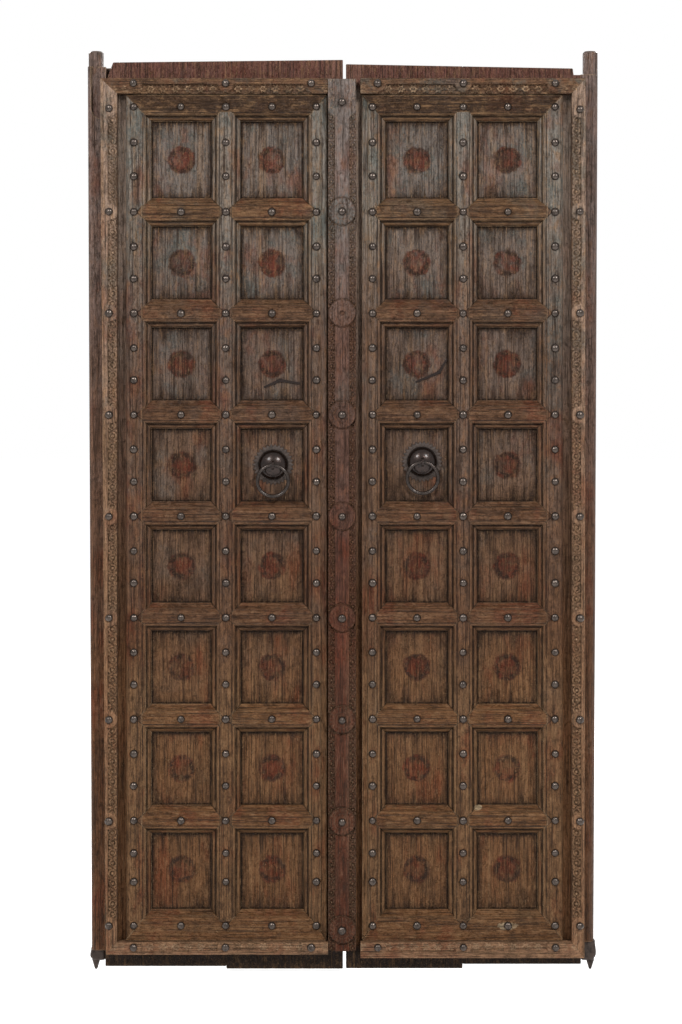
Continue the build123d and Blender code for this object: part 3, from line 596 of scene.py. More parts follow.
@dataclass(frozen=True)
class PanelFinish(WoodFinish):
    """The planks: a faded roundel and dark streaks in each panel, edges darkened by grime and painted shade,
    a painted shadow under each rail, a red top and a dark foot of painted shadow.

    Beside the borders and the seam the wood is painted lighter, painted light that offsets the shade in those
    narrow channels.
    """

    head: Colour = (96, 52, 42)
    # A painted shadow: the planks darken at their feet.
    foot: Colour = (16, 9, 5)
    # Painted light: lighter wood for the shaded channels beside the borders and the seam.
    gap_light_upper: Colour = (172, 150, 134)
    gap_light_lower: Colour = (126, 86, 58)
    roundel: Colour = (104, 44, 28)
    roundel_edge: Colour = (42, 30, 25)
    roundel_radius: float = 0.033
    scuff_and_shadow_drop: float = 0.04
    scuff_and_shadow_radius: float = 0.044
    crack_x: float = 0.401
    crack_top: float = 0.27

    def lay_roundels(self, coat: Coat, lines: GridLines, ragged: Value) -> None:
        """Lays the roundels, discs with a frayed rim, and dark arcs below the eyes, partly the rings' scuffs
        and partly their painted shadow.

        Args:
            coat: The wood's colour.
            lines: The grid.
            ragged: The noise that frays the edges.
        """
        away = ragged * 0.024 + lines.to_roundel()
        inside = away.ramp(self.roundel_radius + 0.014, self.roundel_radius + 0.007)
        panelled = inside * lines.z.ramp(2.03, 2.02)
        kept = coat.place.noise(7.0, 3.0, 0.6).ramp(0.26, 0.5)
        faded = coat.place.noise(34.0, 5.0, 0.7).ramp(0.3, 0.6, 0.78) * kept
        sooty = coat.place.noise(5.0, 3.0, 0.6).ramp(0.74, 0.32, 0.85)
        coat.lay(panelled * sooty, self.roundel_edge)
        coat.lay(panelled * faded, self.roundel)
        rim = away.ramp(self.roundel_radius - 0.004, self.roundel_radius + 0.003)
        coat.lay(panelled * rim * ragged.ramp(0.4, 0.55, 0.9), self.roundel_edge)
        # Dark arcs below the rings: scuffs and a painted shadow of the rings.
        scuff_and_shadow = abs(lines.to_pull(self.scuff_and_shadow_drop) - self.scuff_and_shadow_radius).ramp(0.008, 0.001)
        coat.lay(scuff_and_shadow * ragged.ramp(0.35, 0.5, 0.8), self.dark)

    def lay_edges(self, coat: Coat, lines: GridLines, ragged: Value) -> None:
        """Lays grime and painted shade along each panel's edges, a painted shadow under each rail, painted
        light on the wood in the narrow channels beside the grid, and dark streaks near the rails.

        Args:
            coat: The wood's colour.
            lines: The grid.
            ragged: The noise that frays the edges.
        """
        up = lines.past_level() - BEVEL
        edge = up.least(lines.past_upright() - BEVEL)
        panel = edge.ramp(-0.05, -0.03)
        # Dark along the panel's edges: partly grime, partly painted shade in the recess by the moulding.
        soft = ragged * -0.03 + edge
        coat.lay(panel * soft.ramp(0.004, -0.014, 0.6), self.dark)
        coat.lay(panel * edge.ramp(0.005, 0.001), self.grime_and_shade)
        # A painted shadow: a dark band along each panel's top, under the rail above.
        coat.lay(panel * lines.above_panel() * up.ramp(0.012, 0.002, 0.85), self.grime_and_shade)
        # Painted light: the wood in the narrow channels beside the borders and the seam is made lighter to
        # offset their shade.
        aside = lines.along.ramp(0.046, 0.042, 0.95).most(lines.along.ramp(0.504, 0.508, 0.6))
        gap_light = coat.bench.mix(lines.z.ramp(0.7, 1.9), linear(self.gap_light_lower), linear(self.gap_light_upper))
        coat.colour = coat.bench.mix(aside, coat.colour, gap_light)
        streak = coat.place.stretch((60.0, 60.0, 3.0)).noise(1.0, 4.0, 0.6)
        coat.lay(panel * up.ramp(0.06, 0.0) * streak.ramp(0.44, 0.6, 0.85), self.dark)

    def paint(self, coat: Coat) -> Value | None:
        """Adds the marks of the planks' fronts, then the red heads, and the dark feet of painted shadow, of
        the whole planks.

        Args:
            coat: The wood's colour.

        Returns:
            No height.
        """
        lines = GridLines(coat.place)
        plain = coat.colour
        ragged = coat.place.noise(60.0, 5.0, 0.65)
        self.lay_roundels(coat, lines, ragged)
        self.lay_edges(coat, lines, ragged)
        crack = abs(lines.along - self.crack_x).ramp(0.0016, 0.0006)
        crack = crack * lines.z.ramp(self.crack_top, self.crack_top - 0.005)
        coat.lay(crack * lines.side.ramp(0.0, -1.0), self.grime_and_shade)
        coat.colour = coat.bench.mix(lines.y.ramp(-0.008, -0.012), plain, coat.colour)
        # The red head is the planks' own tone; the dark foot is a painted shadow.
        coat.lay_all((lines.z, 2.05, 2.07, 0.85, self.head), (lines.z, 0.075, 0.05, 0.97, self.foot))
        return None


@dataclass(frozen=True)
class GridFinish(WoodFinish):
    """The grid's wood: two beads, raised by a bump and painted pale on their crests and dark in their hollows
    as painted highlight and shade, run round each panel, and black lines mark the mitres.

    Each chip is its middle's x and z and half its width and height. A line is the distances from its
    middle at which it starts and is full, and its strength.
    """

    point: Colour = (98, 72, 54)
    chip: Colour = (186, 164, 132)
    chips: tuple[tuple[float, ...], ...] = ((0.378, 0.113, 0.022, 0.009), (0.31, 0.386, 0.01, 0.006))
    line: tuple[float, float, float] = (0.0022, 0.0006, 0.95)
    bead_height: float = 1.8

    def lay_points(self, coat: Coat, lines: GridLines) -> None:
        """Darkens the top rail, partly patina and partly a painted shadow of the top border, and draws the
        muntins' points on the top and bottom rails.

        Args:
            coat: The wood's colour.
            lines: The grid.
        """
        ends = lines.past_ends()
        flat = ends.ramp(0.0004, -0.0004)
        arrow = HALF_MUNTIN - lines.to_muntin() + ends
        # The top rail darkened: patina and a painted shadow of the top border.
        coat.lay(lines.z.ramp(1.98, 1.995, 0.75), self.dark)
        coat.lay(flat * arrow.ramp(0.0, 0.0008, 0.7), self.point)
        coat.lay(flat * abs(arrow).ramp(*self.line), self.grime_and_shade)

    def lay_chips(self, coat: Coat, lines: GridLines) -> None:
        """Bares the pale wood in frayed ellipses.

        Args:
            coat: The wood's colour.
            lines: The grid.
        """
        ragged = coat.place.noise(120.0, 4.0, 0.7)
        signed = lines.along * lines.side
        for x, z, half_width, half_height in self.chips:
            away = distance((signed - x) / half_width, (lines.z - z) / half_height)
            coat.lay((ragged * 1.6 + away).ramp(1.9, 1.7, 0.9), self.chip)

    def paint(self, coat: Coat) -> Value | None:
        """Adds the points of the rails and muntins, and the beads, two waves of a cosine across the moulding,
        painted pale on their crests and dark in their hollows: wear and grime together with painted highlight
        and shade.

        Args:
            coat: The wood's colour.

        Returns:
            The height of the beads.
        """
        lines = GridLines(coat.place)
        past = lines.past_upright()
        slope = HALF_RAIL / HALF_MUNTIN if self.grain is Grain.UPRIGHT else 1.0
        inside = past * slope + HALF_RAIL - lines.to_rail()
        if self.grain is Grain.UPRIGHT:
            beaded = past.ramp(-0.0006, 0.0006)
            coat.lay(inside.ramp(0.0, 0.0008, 0.8), self.point)
        else:
            past = lines.past_level()
            beaded = past.ramp(-0.0006, 0.0006) * lines.above_panel()
            self.lay_points(coat, lines)
        coat.lay(abs(inside).ramp(*self.line), self.grime_and_shade)
        self.lay_chips(coat, lines)
        bead = (past * (4 * math.pi / BEVEL)).math("COSINE") * -0.5 + 0.5
        crest = beaded * bead
        # Painted highlight and pale wear on the beads' crests, painted shade and grime in their hollows.
        coat.lay(crest.ramp(0.6, 1.0, 0.35), self.pale)
        coat.lay(beaded * bead.ramp(0.55, 0.05, 0.9), self.grime_and_shade)
        return crest * self.bead_height


@dataclass(frozen=True)
class CarvedFinish(WoodFinish):
    """Carved wood: painted shade and grime in the hollows, and rubbed pale on the crests."""

    hollow: Colour = (92, 69, 54)
    crest: Colour = (172, 142, 112)

    def paint(self, coat: Coat) -> Value | None:
        """Darkens the hollows with painted shade and grime, and rubs the crests pale, by the carving's own
        height.

        Args:
            coat: The wood's colour.

        Returns:
            No height, as the mesh has it.
        """
        high = coat.bench.relief()
        # Painted shade and grime: the hollows darken by the carving's height.
        coat.lay(high.ramp(0.6, 0.0, 0.8), self.hollow)
        rubbed = coat.place.noise(60.0, 4.0, 0.6).ramp(0.3, 0.6, 0.8)
        coat.lay(rubbed * high.ramp(0.82, 0.97), self.crest)
        return None


@dataclass(frozen=True)
class IronFinish:
    """Forged iron, browned by handling, with rust in patches."""

    name: str
    bright: Colour
    brown: Colour
    roughness: float = 0.3
    metal: float = 0.85
    coat: float = 0.5
    coat_roughness: float = 0.16
    bump: float = 0.0008

    def material(self) -> bpy.types.Material:
        """Builds the finish.

        Returns:
            The material: a metal between two tones by noise, rougher where it is browner.
        """
        bench = Bench(bpy.data.materials.new(self.name))
        place = bench.place()
        rust = place.noise(110.0, 5.0, 0.65).ramp(0.42, 0.66)
        colour = bench.mix(rust, linear(self.bright), linear(self.brown))
        oil = {"Coat Weight": self.coat, "Coat Roughness": self.coat_roughness}
        bench.feed(bench.shader, {"Metallic": self.metal, **oil})
        bench.bump(place.noise(420.0, 3.0, 0.6), self.bump, 0.4)
        return bench.close(colour, rust * 0.22 + self.roughness)


class Finishes:
    """All the door's finishes, built once."""

    def __init__(self) -> None:
        """Builds each finish's material."""
        self.panel = PanelFinish(
            "panel_wood",
            (112, 104, 98),
            (118, 82, 54),
            Grain.UPRIGHT,
            edge_wear_glint_share=0.2,
            streaks=0.35,
            handled=(236, 235, 237),
        ).material()
        self.stile = GridFinish(
            "stile_wood", (128, 122, 114), (116, 84, 57), Grain.UPRIGHT, handled=(226, 213, 210)
        ).material()
        self.rail = GridFinish(
            "rail_wood", (95, 68, 47), (113, 77, 48), Grain.LEVEL, patina_share=0.25, handled=(232, 230, 240)
        ).material()
        self.post = WoodFinish(
            "post_wood", (130, 110, 102), (108, 72, 47), Grain.UPRIGHT, pale=(128, 94, 72), patina_share=0.2
        ).material()
        self.batten = WoodFinish(
            "batten_wood", (98, 76, 58), (104, 73, 50), Grain.LEVEL, patina_share=0.2
        ).material()
        self.border = CarvedFinish("border_wood", (166, 140, 122), (152, 113, 84), Grain.UPRIGHT).material()
        self.level_border = CarvedFinish(
            "level_border_wood", (102, 73, 54), (158, 120, 92), Grain.LEVEL
        ).material()
        self.cover = CarvedFinish(
            "cover_wood",
            (130, 118, 112),
            (84, 43, 26),
            Grain.UPRIGHT,
            pale=(126, 92, 72),
            hollow=(100, 78, 64),
            handled=(236, 216, 206),
        ).material()
        self.stud = IronFinish("stud_iron", (72, 62, 55), (40, 31, 25), 0.22, coat=0.3).material()
        self.dome = IronFinish("dome_iron", (40, 28, 23), (26, 17, 13), 0.2, coat=0.3).material()
        self.ring = IronFinish("ring_iron", (50, 41, 36), (30, 23, 19), 0.24, coat=0.3).material()
        self.plate = IronFinish("plate_iron", (50, 36, 27), (32, 22, 16), 0.55, 0.15, 0.0).material()
        self.shoe = IronFinish("shoe_iron", (58, 46, 39), (40, 31, 26), 0.5, 0.5, 0.0).material()


@dataclass(frozen=True)
class Joinery:
    """The plain wooden pieces, which keep their solids and get softened edges and a finish."""

    finishes: Finishes
    edge: float = 0.0016
    join: float = 1e-5
    sharp_degrees: float = 40.0

    def soften(self, piece: bpy.types.Object) -> None:
        """Rounds a solid's sharp edges as wear does, after its loose faces are joined.

        Args:
            piece: The node's object.
        """
        weld = piece.modifiers.new("join", "WELD")
        weld.merge_threshold = self.join
        bevel = piece.modifiers.new("wear", "BEVEL")
        bevel.width = self.edge
        bevel.segments = 2
        bevel.limit_method = "ANGLE"
        bevel.angle_limit = math.radians(self.sharp_degrees)
        bevel.harden_normals = True

    def finish_for(self, node: str) -> bpy.types.Material:
        """Chooses a node's finish from what it is.

        Args:
            node: The node's name.

        Returns:
            Its material.
        """
        kinds = (
            ("plank", self.finishes.panel),
            ("rail", self.finishes.rail),
            ("post", self.finishes.post),
            ("batten", self.finishes.batten),
            ("split", self.finishes.dome),
            ("staple", self.finishes.dome),
        )
        return next(finish for word, finish in kinds if word in node)

    def dress(self) -> None:
        """Finishes every node that is still shown."""
        for name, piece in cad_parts.items():
            if piece.hide_render:
                continue
            for slot in piece.material_slots:
                slot.material = self.finish_for(name)
            self.soften(piece)
            log.info("%s keeps its solid", name)


@dataclass(frozen=True)
class LowMoulding:
    """One leaf's lowest moulding: the same wood as its solids, with the bottom rail's upper edge lower."""

    leaf: Leaf
    finishes: Finishes
    foot: float = 0.079
    flat: float = 0.153
    above: float = 0.18
    drop: float = 0.026

    def build_piece(self, node: str, finish: bpy.types.Material) -> bpy.types.Object:
        """Copies a node's solid and lowers its points, by a share that grows evenly from the rail's foot
        to its flat's edge, and all of it on the moulding over that.

        Args:
            node: The node's name.
            finish: The piece's material.

        Returns:
            The new piece.
        """
        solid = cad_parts[node].data
        points = np.empty(3 * len(solid.vertices))
        solid.vertices.foreach_get("co", points)
        points = points.reshape(-1, 3)
        share = np.clip((points[:, 2] - self.foot) / (self.flat - self.foot), 0, 1)
        points[:, 2] -= self.drop * share * (points[:, 2] < self.above)
        faces = np.empty(3 * len(solid.polygons), int)
        solid.polygons.foreach_get("vertices", faces)
        piece = make_piece(f"{node}_lowered", points, faces.reshape(-1, 3), smooth=False)
        set_piece(piece, finish, self.leaf.body, "wood", node)
        return piece

    def build(self, joinery: Joinery) -> None:
        """Builds the stiles, the muntin and the rail that meet at the moulding.

        Args:
            joinery: The plain wood's edges, which these pieces get too.
        """
        side = self.leaf.label
        for node in ("inner_stile", "outer_stile", "centre_muntin"):
            joinery.soften(self.build_piece(f"{side}_{node}", self.finishes.stile))
        joinery.soften(self.build_piece(f"{side}_bottom_rail", self.finishes.rail))


@dataclass(frozen=True)
class Studs:
    """One leaf's nail heads: low domes, each a little out of true."""

    leaf: Leaf
    finishes: Finishes
    radius: float = 0.0096
    height: float = 0.0078
    rim: float = 0.12
    sizes: Place = (0.92, 1.04)
    heights: Place = (0.85, 1.0)
    lean: float = 0.0012
    seed: int = 11
    sides: int = 12
    solid_points: int = 16
    low_seat: tuple[float, float, float] = (0.5455, -0.048, LOW_BOSS)

    def seats(self) -> Array:
        """Finds the middle of each head's seat from the solids, which are all alike, and adds the lowest
        head on the upright border.

        Returns:
            One line of three coordinates for each head.
        """
        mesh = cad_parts[f"{self.leaf.label}_studs"].data
        corners = np.empty(3 * len(mesh.vertices), np.float32)
        mesh.vertices.foreach_get("co", corners)
        heads = corners.reshape(-1, self.solid_points, 3)
        low, high = heads.min(axis=1), heads.max(axis=1)
        middle = (low + high) / 2
        seats = np.stack([middle[:, 0], high[:, 1], middle[:, 2]], axis=1)
        return np.concatenate([seats, [np.array(self.low_seat) * (self.leaf.value, 1, 1)]])

    def build(self) -> None:
        """Turns a dome's profile about each seat: the radius falls by the cosine and the height
        rises by the sine of a quarter turn, with a seeded change of size and lean for each head.
        """
        seats = self.seats()
        rng = np.random.default_rng(self.seed + self.leaf.value)
        turn = np.linspace(0, math.pi / 2, 5)
        out = np.concatenate([[0, 1], np.cos(turn)])
        up = np.concatenate([[0, 0], self.rim + (1 - self.rim) * np.sin(turn)])
        round_ = circle(self.sides)
        size = self.radius * rng.uniform(*self.sizes, len(seats))[:, None, None]
        tall = self.height * rng.uniform(*self.heights, len(seats))[:, None, None]
        lean = rng.uniform(-self.lean, self.lean, (2, len(seats)))[:, :, None, None]
        x = seats[:, 0, None, None] + size * out[:, None] * np.cos(round_) + lean[0] * up[:, None]
        z = seats[:, 2, None, None] + size * out[:, None] * np.sin(round_) + lean[1] * up[:, None]
        y = seats[:, 1, None, None] - tall * up[:, None] * np.ones(self.sides)
        points = as_points(x, y, z)
        cell = grid_faces(len(out), self.sides, True)
        per_head = len(out) * self.sides
        faces = (cell[None] + per_head * np.arange(len(seats))[:, None, None]).reshape(-1, 4)
        piece = make_piece(f"{self.leaf.label}_stud_heads", points, faces)
        set_piece(piece, self.finishes.stud, self.leaf.body, "iron", f"{self.leaf.label}_studs")


def scroll_row(along: Array, across: Array, pitch: float, width: float) -> Array:
    """A row of scrolls: a ring that winds inwards about each middle, a bud in it and leaves between.

    The ring is a bell curve of the distance from a radius that grows with the angle, the bud a smooth
    step of the distance, and each leaf a bell curve of both coordinates.

    Args:
        along: Places along the band.
        across: Places across it, from its middle.
        pitch: The room for one scroll.
        width: The band's width.

    Returns:
        The carving's height at each place, from 0 to 1.
    """
    cell = np.round(along / pitch)
    aside = along - pitch * cell
    hand = np.where(cell % 2 == 0, 1.0, -1.0)
    away = np.hypot(aside, across) / (0.5 * width)
    radius = 0.72 + 0.16 * np.arctan2(hand * across, aside) / math.pi
    ring = np.exp(-(((away - radius) / 0.17) ** 2))
    bud = ease(0.44, 0.2, away)
    gap = (np.abs(aside) - pitch / 2) / (0.13 * width)
    leaf = np.exp(-(gap**2) - ((np.abs(across) - 0.3 * width) / (0.18 * width)) ** 2)
    return np.maximum(np.maximum(ring, bud), leaf)


def flower_row(along: Array, across: Array, pitch: float, width: float) -> Array:
    """A row of flowers: petals by the cosine of the angle about each middle, with a sunk ring and a bud.

    Args:
        along: Places along the band.
        across: Places across it, from its middle.
        pitch: The room for one flower.
        width: The band's width.

    Returns:
        The carving's height at each place, from 0 to 1.
    """
    aside = along - pitch * np.round(along / pitch)
    away = np.hypot(0.85 * aside, across) / (0.5 * width)
    reach = 0.86 + 0.2 * np.cos(6 * np.arctan2(across, aside))
    petal = ease(1.05, 0.75, away / reach) * ease(0.18, 0.4, away)
    gap = (np.abs(aside) - pitch / 2) / (0.12 * width)
    leaf = 0.7 * np.exp(-(gap**2) - (across / (0.3 * width)) ** 2)
    return np.maximum(np.maximum(petal, ease(0.32, 0.1, away)), leaf)


def discs(x: Array, z: Array, places: list[Place], radius: float) -> tuple[Array, Array]:
    """Finds the round bosses on a face: a smooth step at each edge, and a bell curve just outside it.

    Args:
        x: Places along the door.
        z: Places up the door.
        places: The bosses' middles.
        radius: Their radius.

    Returns:
        Where the bosses are and where the grooves about them are, each from 0 to 1.
    """
    away = np.min([np.hypot(x - boss_x, z - boss_z) for boss_x, boss_z in places], axis=0)
    groove = np.exp(-(((away - radius - GROOVE_OFFSET) / GROOVE_WIDTH) ** 2))
    return ease(radius + BOSS_EDGE, radius - BOSS_EDGE, away), groove


@dataclass(frozen=True)
class Relief:
    """The levels of a carved face over the planks: its ground, its crests and its plain top."""

    low: float
    carving: float
    top: float
    sunk: float = 0.003
    uneven: float = 0.0005
    uneven_size: float = 0.09
    uneven_seed: int = 5
    worn_down: float = 0.0006
    plain_relief: float = 0.8
    boss_relief: float = 0.85

    def cut(
        self, x: Array, z: Array, motif: Array, plain: Array, bosses: tuple[Array, Array]
    ) -> tuple[Array, Array]:
        """Works out a face: the motif on its ground, the fillets over it and the bosses over those.

        Args:
            x: Places along the door.
            z: Places up the door.
            motif: The carving's height, from 0 to 1.
            plain: Where the face is a plain fillet, from 0 to 1.
            bosses: Where the bosses and their grooves are.

        Returns:
            The depth of each place, and its relief from 0 to 1.
        """
        disc, groove = bosses
        ground = self.low + self.carving * motif
        face = between(ground, self.top - self.sunk, plain) - self.sunk * groove
        relief = np.maximum(motif, self.plain_relief * plain)
        # Painted shade: the grooves get a low relief, so the finish darkens them as hollows.
        if self.sunk > 0:
            relief = relief * (1 - 0.9 * groove)
        uneven = self.uneven * wander(x, z, self.uneven_size, self.uneven_seed) - self.worn_down
        depth = FACE_DEPTH + between(face, self.top, disc) + uneven
        return depth, between(relief, self.boss_relief, disc)


@dataclass(frozen=True)
class Strip:
    """A carved strip: its face as a grid of places and depths over the plank."""

    name: str
    x: Array
    z: Array
    depth: Array
    relief: Array
    base: float = FACE_DEPTH

    def build(self) -> bpy.types.Object:
        """Closes the face into a solid: a rim of points at the base depth stands square under its
        edges, and the rim's long sides meet across the back.

        Returns:
            The strip's object.
        """
        x, z, relief = (np.pad(field, 1, mode="edge") for field in (self.x, self.z, self.relief))
        y = -np.pad(self.depth, 1, constant_values=self.base)
        points = as_points(x, y, z)
        return make_piece(self.name, points, grid_faces(*x.shape, True), relief.ravel())


@dataclass(frozen=True)
class Borders:
    """The carved borders of one leaf: a plain fillet outside, a carved band inside, bosses and blocks."""

    leaf: Leaf
    finishes: Finishes
    inner_x: float = 0.5275
    corner_top_x: float = 0.566
    corner_foot_x: float = 0.553
    start_x: float = 0.038
    top: float = 2.08
    top_inner: float = 2.045
    foot: float = 0.049
    foot_inner: float = 0.077
    high_boss_z: float = 2.01
    band: float = 0.021
    relief: Relief = Relief(0.0235, 0.006, 0.032, 0.0)
    boss: float = 0.02
    side_boss_inset: float = 0.018
    end_boss_x: float = 0.077
    outer_boss_x: float = 0.489
    top_boss_drop: float = 0.012
    foot_boss_drop: float = 0.011
    scroll_pitch: float = 0.0236
    flower_pitch: float = 0.029
    worn_foot: float = 0.3
    step: float = 0.002
    columns: int = 26

    @property
    def side_boss_zs(self) -> tuple[float, ...]:
        """The heights of the bosses on the upright border."""
        return (self.high_boss_z, *RAIL_HEIGHTS, LOW_BOSS)

    def carve(
        self,
        place: str,
        grid: tuple[Array, Array],
        across: Array,
        motif: Array,
        blocks: tuple[Array, Array],
        bosses: list[Place],
        finish: bpy.types.Material,
    ) -> None:
        """Cuts a border's face, with its fillet and the plain blocks at its ends, and hangs it on the leaf.

        Args:
            place: Which border it is.
            grid: The places of its face, along the door and up.
            across: How far each is from the band's inner edge.
            motif: The carving's height, from 0 to 1.
            blocks: How far each is past the start of either block.
            bosses: The bosses' middles.
            finish: The border's material.
        """
        x, z = grid
        plain = np.max([ease(-SOFT_EDGE, SOFT_EDGE, past) for past in (across - self.band, *blocks)], axis=0)
        depth, relief = self.relief.cut(x, z, motif, plain, discs(x, z, bosses, self.boss))
        side = self.leaf.label
        strip = Strip(f"{side}_{place}_carving", self.leaf.value * x, z, depth, relief)
        set_piece(strip.build(), finish, self.leaf.body, "carved_wood", f"{side}_{place}_border")

    def build_side(self) -> None:
        """Builds the upright border: z runs between the mitres at both ends, x from the band to the edge."""
        share = np.linspace(0, 1, self.columns)
        rows = int((self.top - self.foot) / self.step)
        up = np.linspace(0, 1, rows)[:, None]
        low_z = between(self.foot_inner, self.foot, share)
        high_z = between(self.top_inner, self.top, share)
        z = between(low_z, high_z, up)
        outer = between(self.corner_foot_x, self.corner_top_x, up)
        x = between(self.inner_x, outer, share)
        across = x - self.inner_x
        motif = scroll_row(z, across - self.band / 2, self.scroll_pitch, self.band)
        blocks = (z - self.high_boss_z, LOW_BOSS - z)
        bosses = [(self.inner_x + self.side_boss_inset, boss_z) for boss_z in self.side_boss_zs]
        self.carve("side", (x, z), across, motif, blocks, bosses, self.finishes.border)

    def build_level(self, place: str, outer_z: float, inner_z: float, corner_x: float, boss_z: float) -> None:
        """Builds a level border: x runs from the seam to the mitre, z from the band to the edge.

        Args:
            place: Whether it is the top or the bottom one.
            outer_z: The height of its outer edge.
            inner_z: The height of its inner edge.
            corner_x: Where its outer edge meets the corner.
            boss_z: The height of its bosses.
        """
        share = np.linspace(0, 1, self.columns)
        rows = int((corner_x - self.start_x) / self.step)
        along = np.linspace(0, 1, rows)[:, None]
        x = between(self.start_x, between(self.inner_x, corner_x, share), along)
        z = between(inner_z, outer_z, share) + 0 * x
        across = np.abs(z - inner_z)
        motif = flower_row(x - MUNTIN_MIDDLE, across - self.band / 2, self.flower_pitch, self.band)
        if place == "bottom":
            motif = 1 - self.worn_foot * (1 - motif)
        blocks = (self.end_boss_x - x, x - self.outer_boss_x)
        bosses = [(boss_x, boss_z) for boss_x in (self.end_boss_x, MUNTIN_MIDDLE, self.outer_boss_x)]
        self.carve(place, (x, z), across, motif, blocks, bosses, self.finishes.level_border)

    def build(self) -> None:
        """Builds the three borders."""
        self.build_side()
        top_boss, foot_boss = self.top - self.top_boss_drop, self.foot_inner - self.foot_boss_drop
        self.build_level("top", self.top, self.top_inner, self.corner_top_x, top_boss)
        self.build_level("bottom", self.foot, self.foot_inner, self.corner_foot_x, foot_boss)


@dataclass(frozen=True)
class CoverStrip:
    """The strip over the seam: two carved bands, a fillet between them, bosses and a square head."""

    finishes: Finishes
    left: float = -0.038
    right: float = 0.027
    top: float = 2.078
    foot: float = 0.058
    head_foot: float = 2.003
    foot_boss_z: float = 0.107
    relief: Relief = Relief(0.0275, 0.0075, 0.04, 0.004)
    fillet: float = 0.034
    pit: float = 0.006
    pit_depth: float = 0.005
    lap_gap: float = 0.0005
    scroll_pitch: float = 0.0214
    boss: float = 0.031
    beads: int = 18
    bead_height: float = 0.0016
    step: float = 0.002
    columns: int = 44

    def rosette(self, aside: Array, up: Array) -> Array:
        """Carves a boss: a bell-shaped groove about its middle, and a rim that a cosine cuts into beads.

        Args:
            aside: Places along the door, from the boss's middle.
            up: Places up the door, from its middle.

        Returns:
            How far each place is sunk, from 0 to 1.
        """
        away = np.hypot(aside, up) / self.boss
        ring = np.exp(-(((away - 0.6) / 0.07) ** 2))
        gaps = 0.5 - 0.5 * np.cos(self.beads * np.arctan2(up, aside))
        return np.maximum(ring, gaps * ease(0.66, 0.76, away))

    def build(self) -> None:
        """Builds the strip: z runs up it and x across it, and its bands carry a running scroll each."""
        rows = int((self.top - self.foot) / self.step)
        z, x = np.meshgrid(
            np.linspace(self.foot, self.top, rows),
            np.linspace(self.left, self.right, self.columns),
            indexing="ij",
        )
        middle = (self.left + self.right) / 2
        aside = np.abs(x - middle)
        head = z - self.head_foot + (self.right - middle - aside)
        plain = np.maximum(
            ease(SOFT_EDGE, -SOFT_EDGE, aside - self.fillet / 2), ease(-SOFT_EDGE, SOFT_EDGE, head)
        )
        boss_zs = np.array([*RAIL_HEIGHTS, self.foot_boss_z])
        bosses = discs(x, z, [(middle, boss_z) for boss_z in boss_zs], self.boss)
        band = (self.right - self.left - self.fillet) / 2
        motif = scroll_row(z, aside - (self.fillet + band) / 2, self.scroll_pitch, band)
        depth, relief = self.relief.cut(x, z, motif, plain, bosses)
        nearest = boss_zs[np.abs(z[..., None] - boss_zs).argmin(axis=-1)]
        sunk = bosses[0] * self.rosette(x - middle, z - nearest)
        hole, _ = discs(x, z, [(middle, RAIL_HEIGHTS[1])], self.pit)
        depth = depth - self.pit_depth * hole - self.bead_height * sunk
        # Painted shade: the pit and the rosettes' ring and bead gaps get a low relief, so the finish darkens
        # them as hollows.
        relief = relief * (1 - hole) * (1 - 0.8 * sunk)
        strip = Strip("cover_strip_carving", x, z, depth, relief, FACE_DEPTH + self.lap_gap)
        set_piece(strip.build(), self.finishes.cover, Leaf.LEFT.body, "carved_wood", "centre_cover_strip")


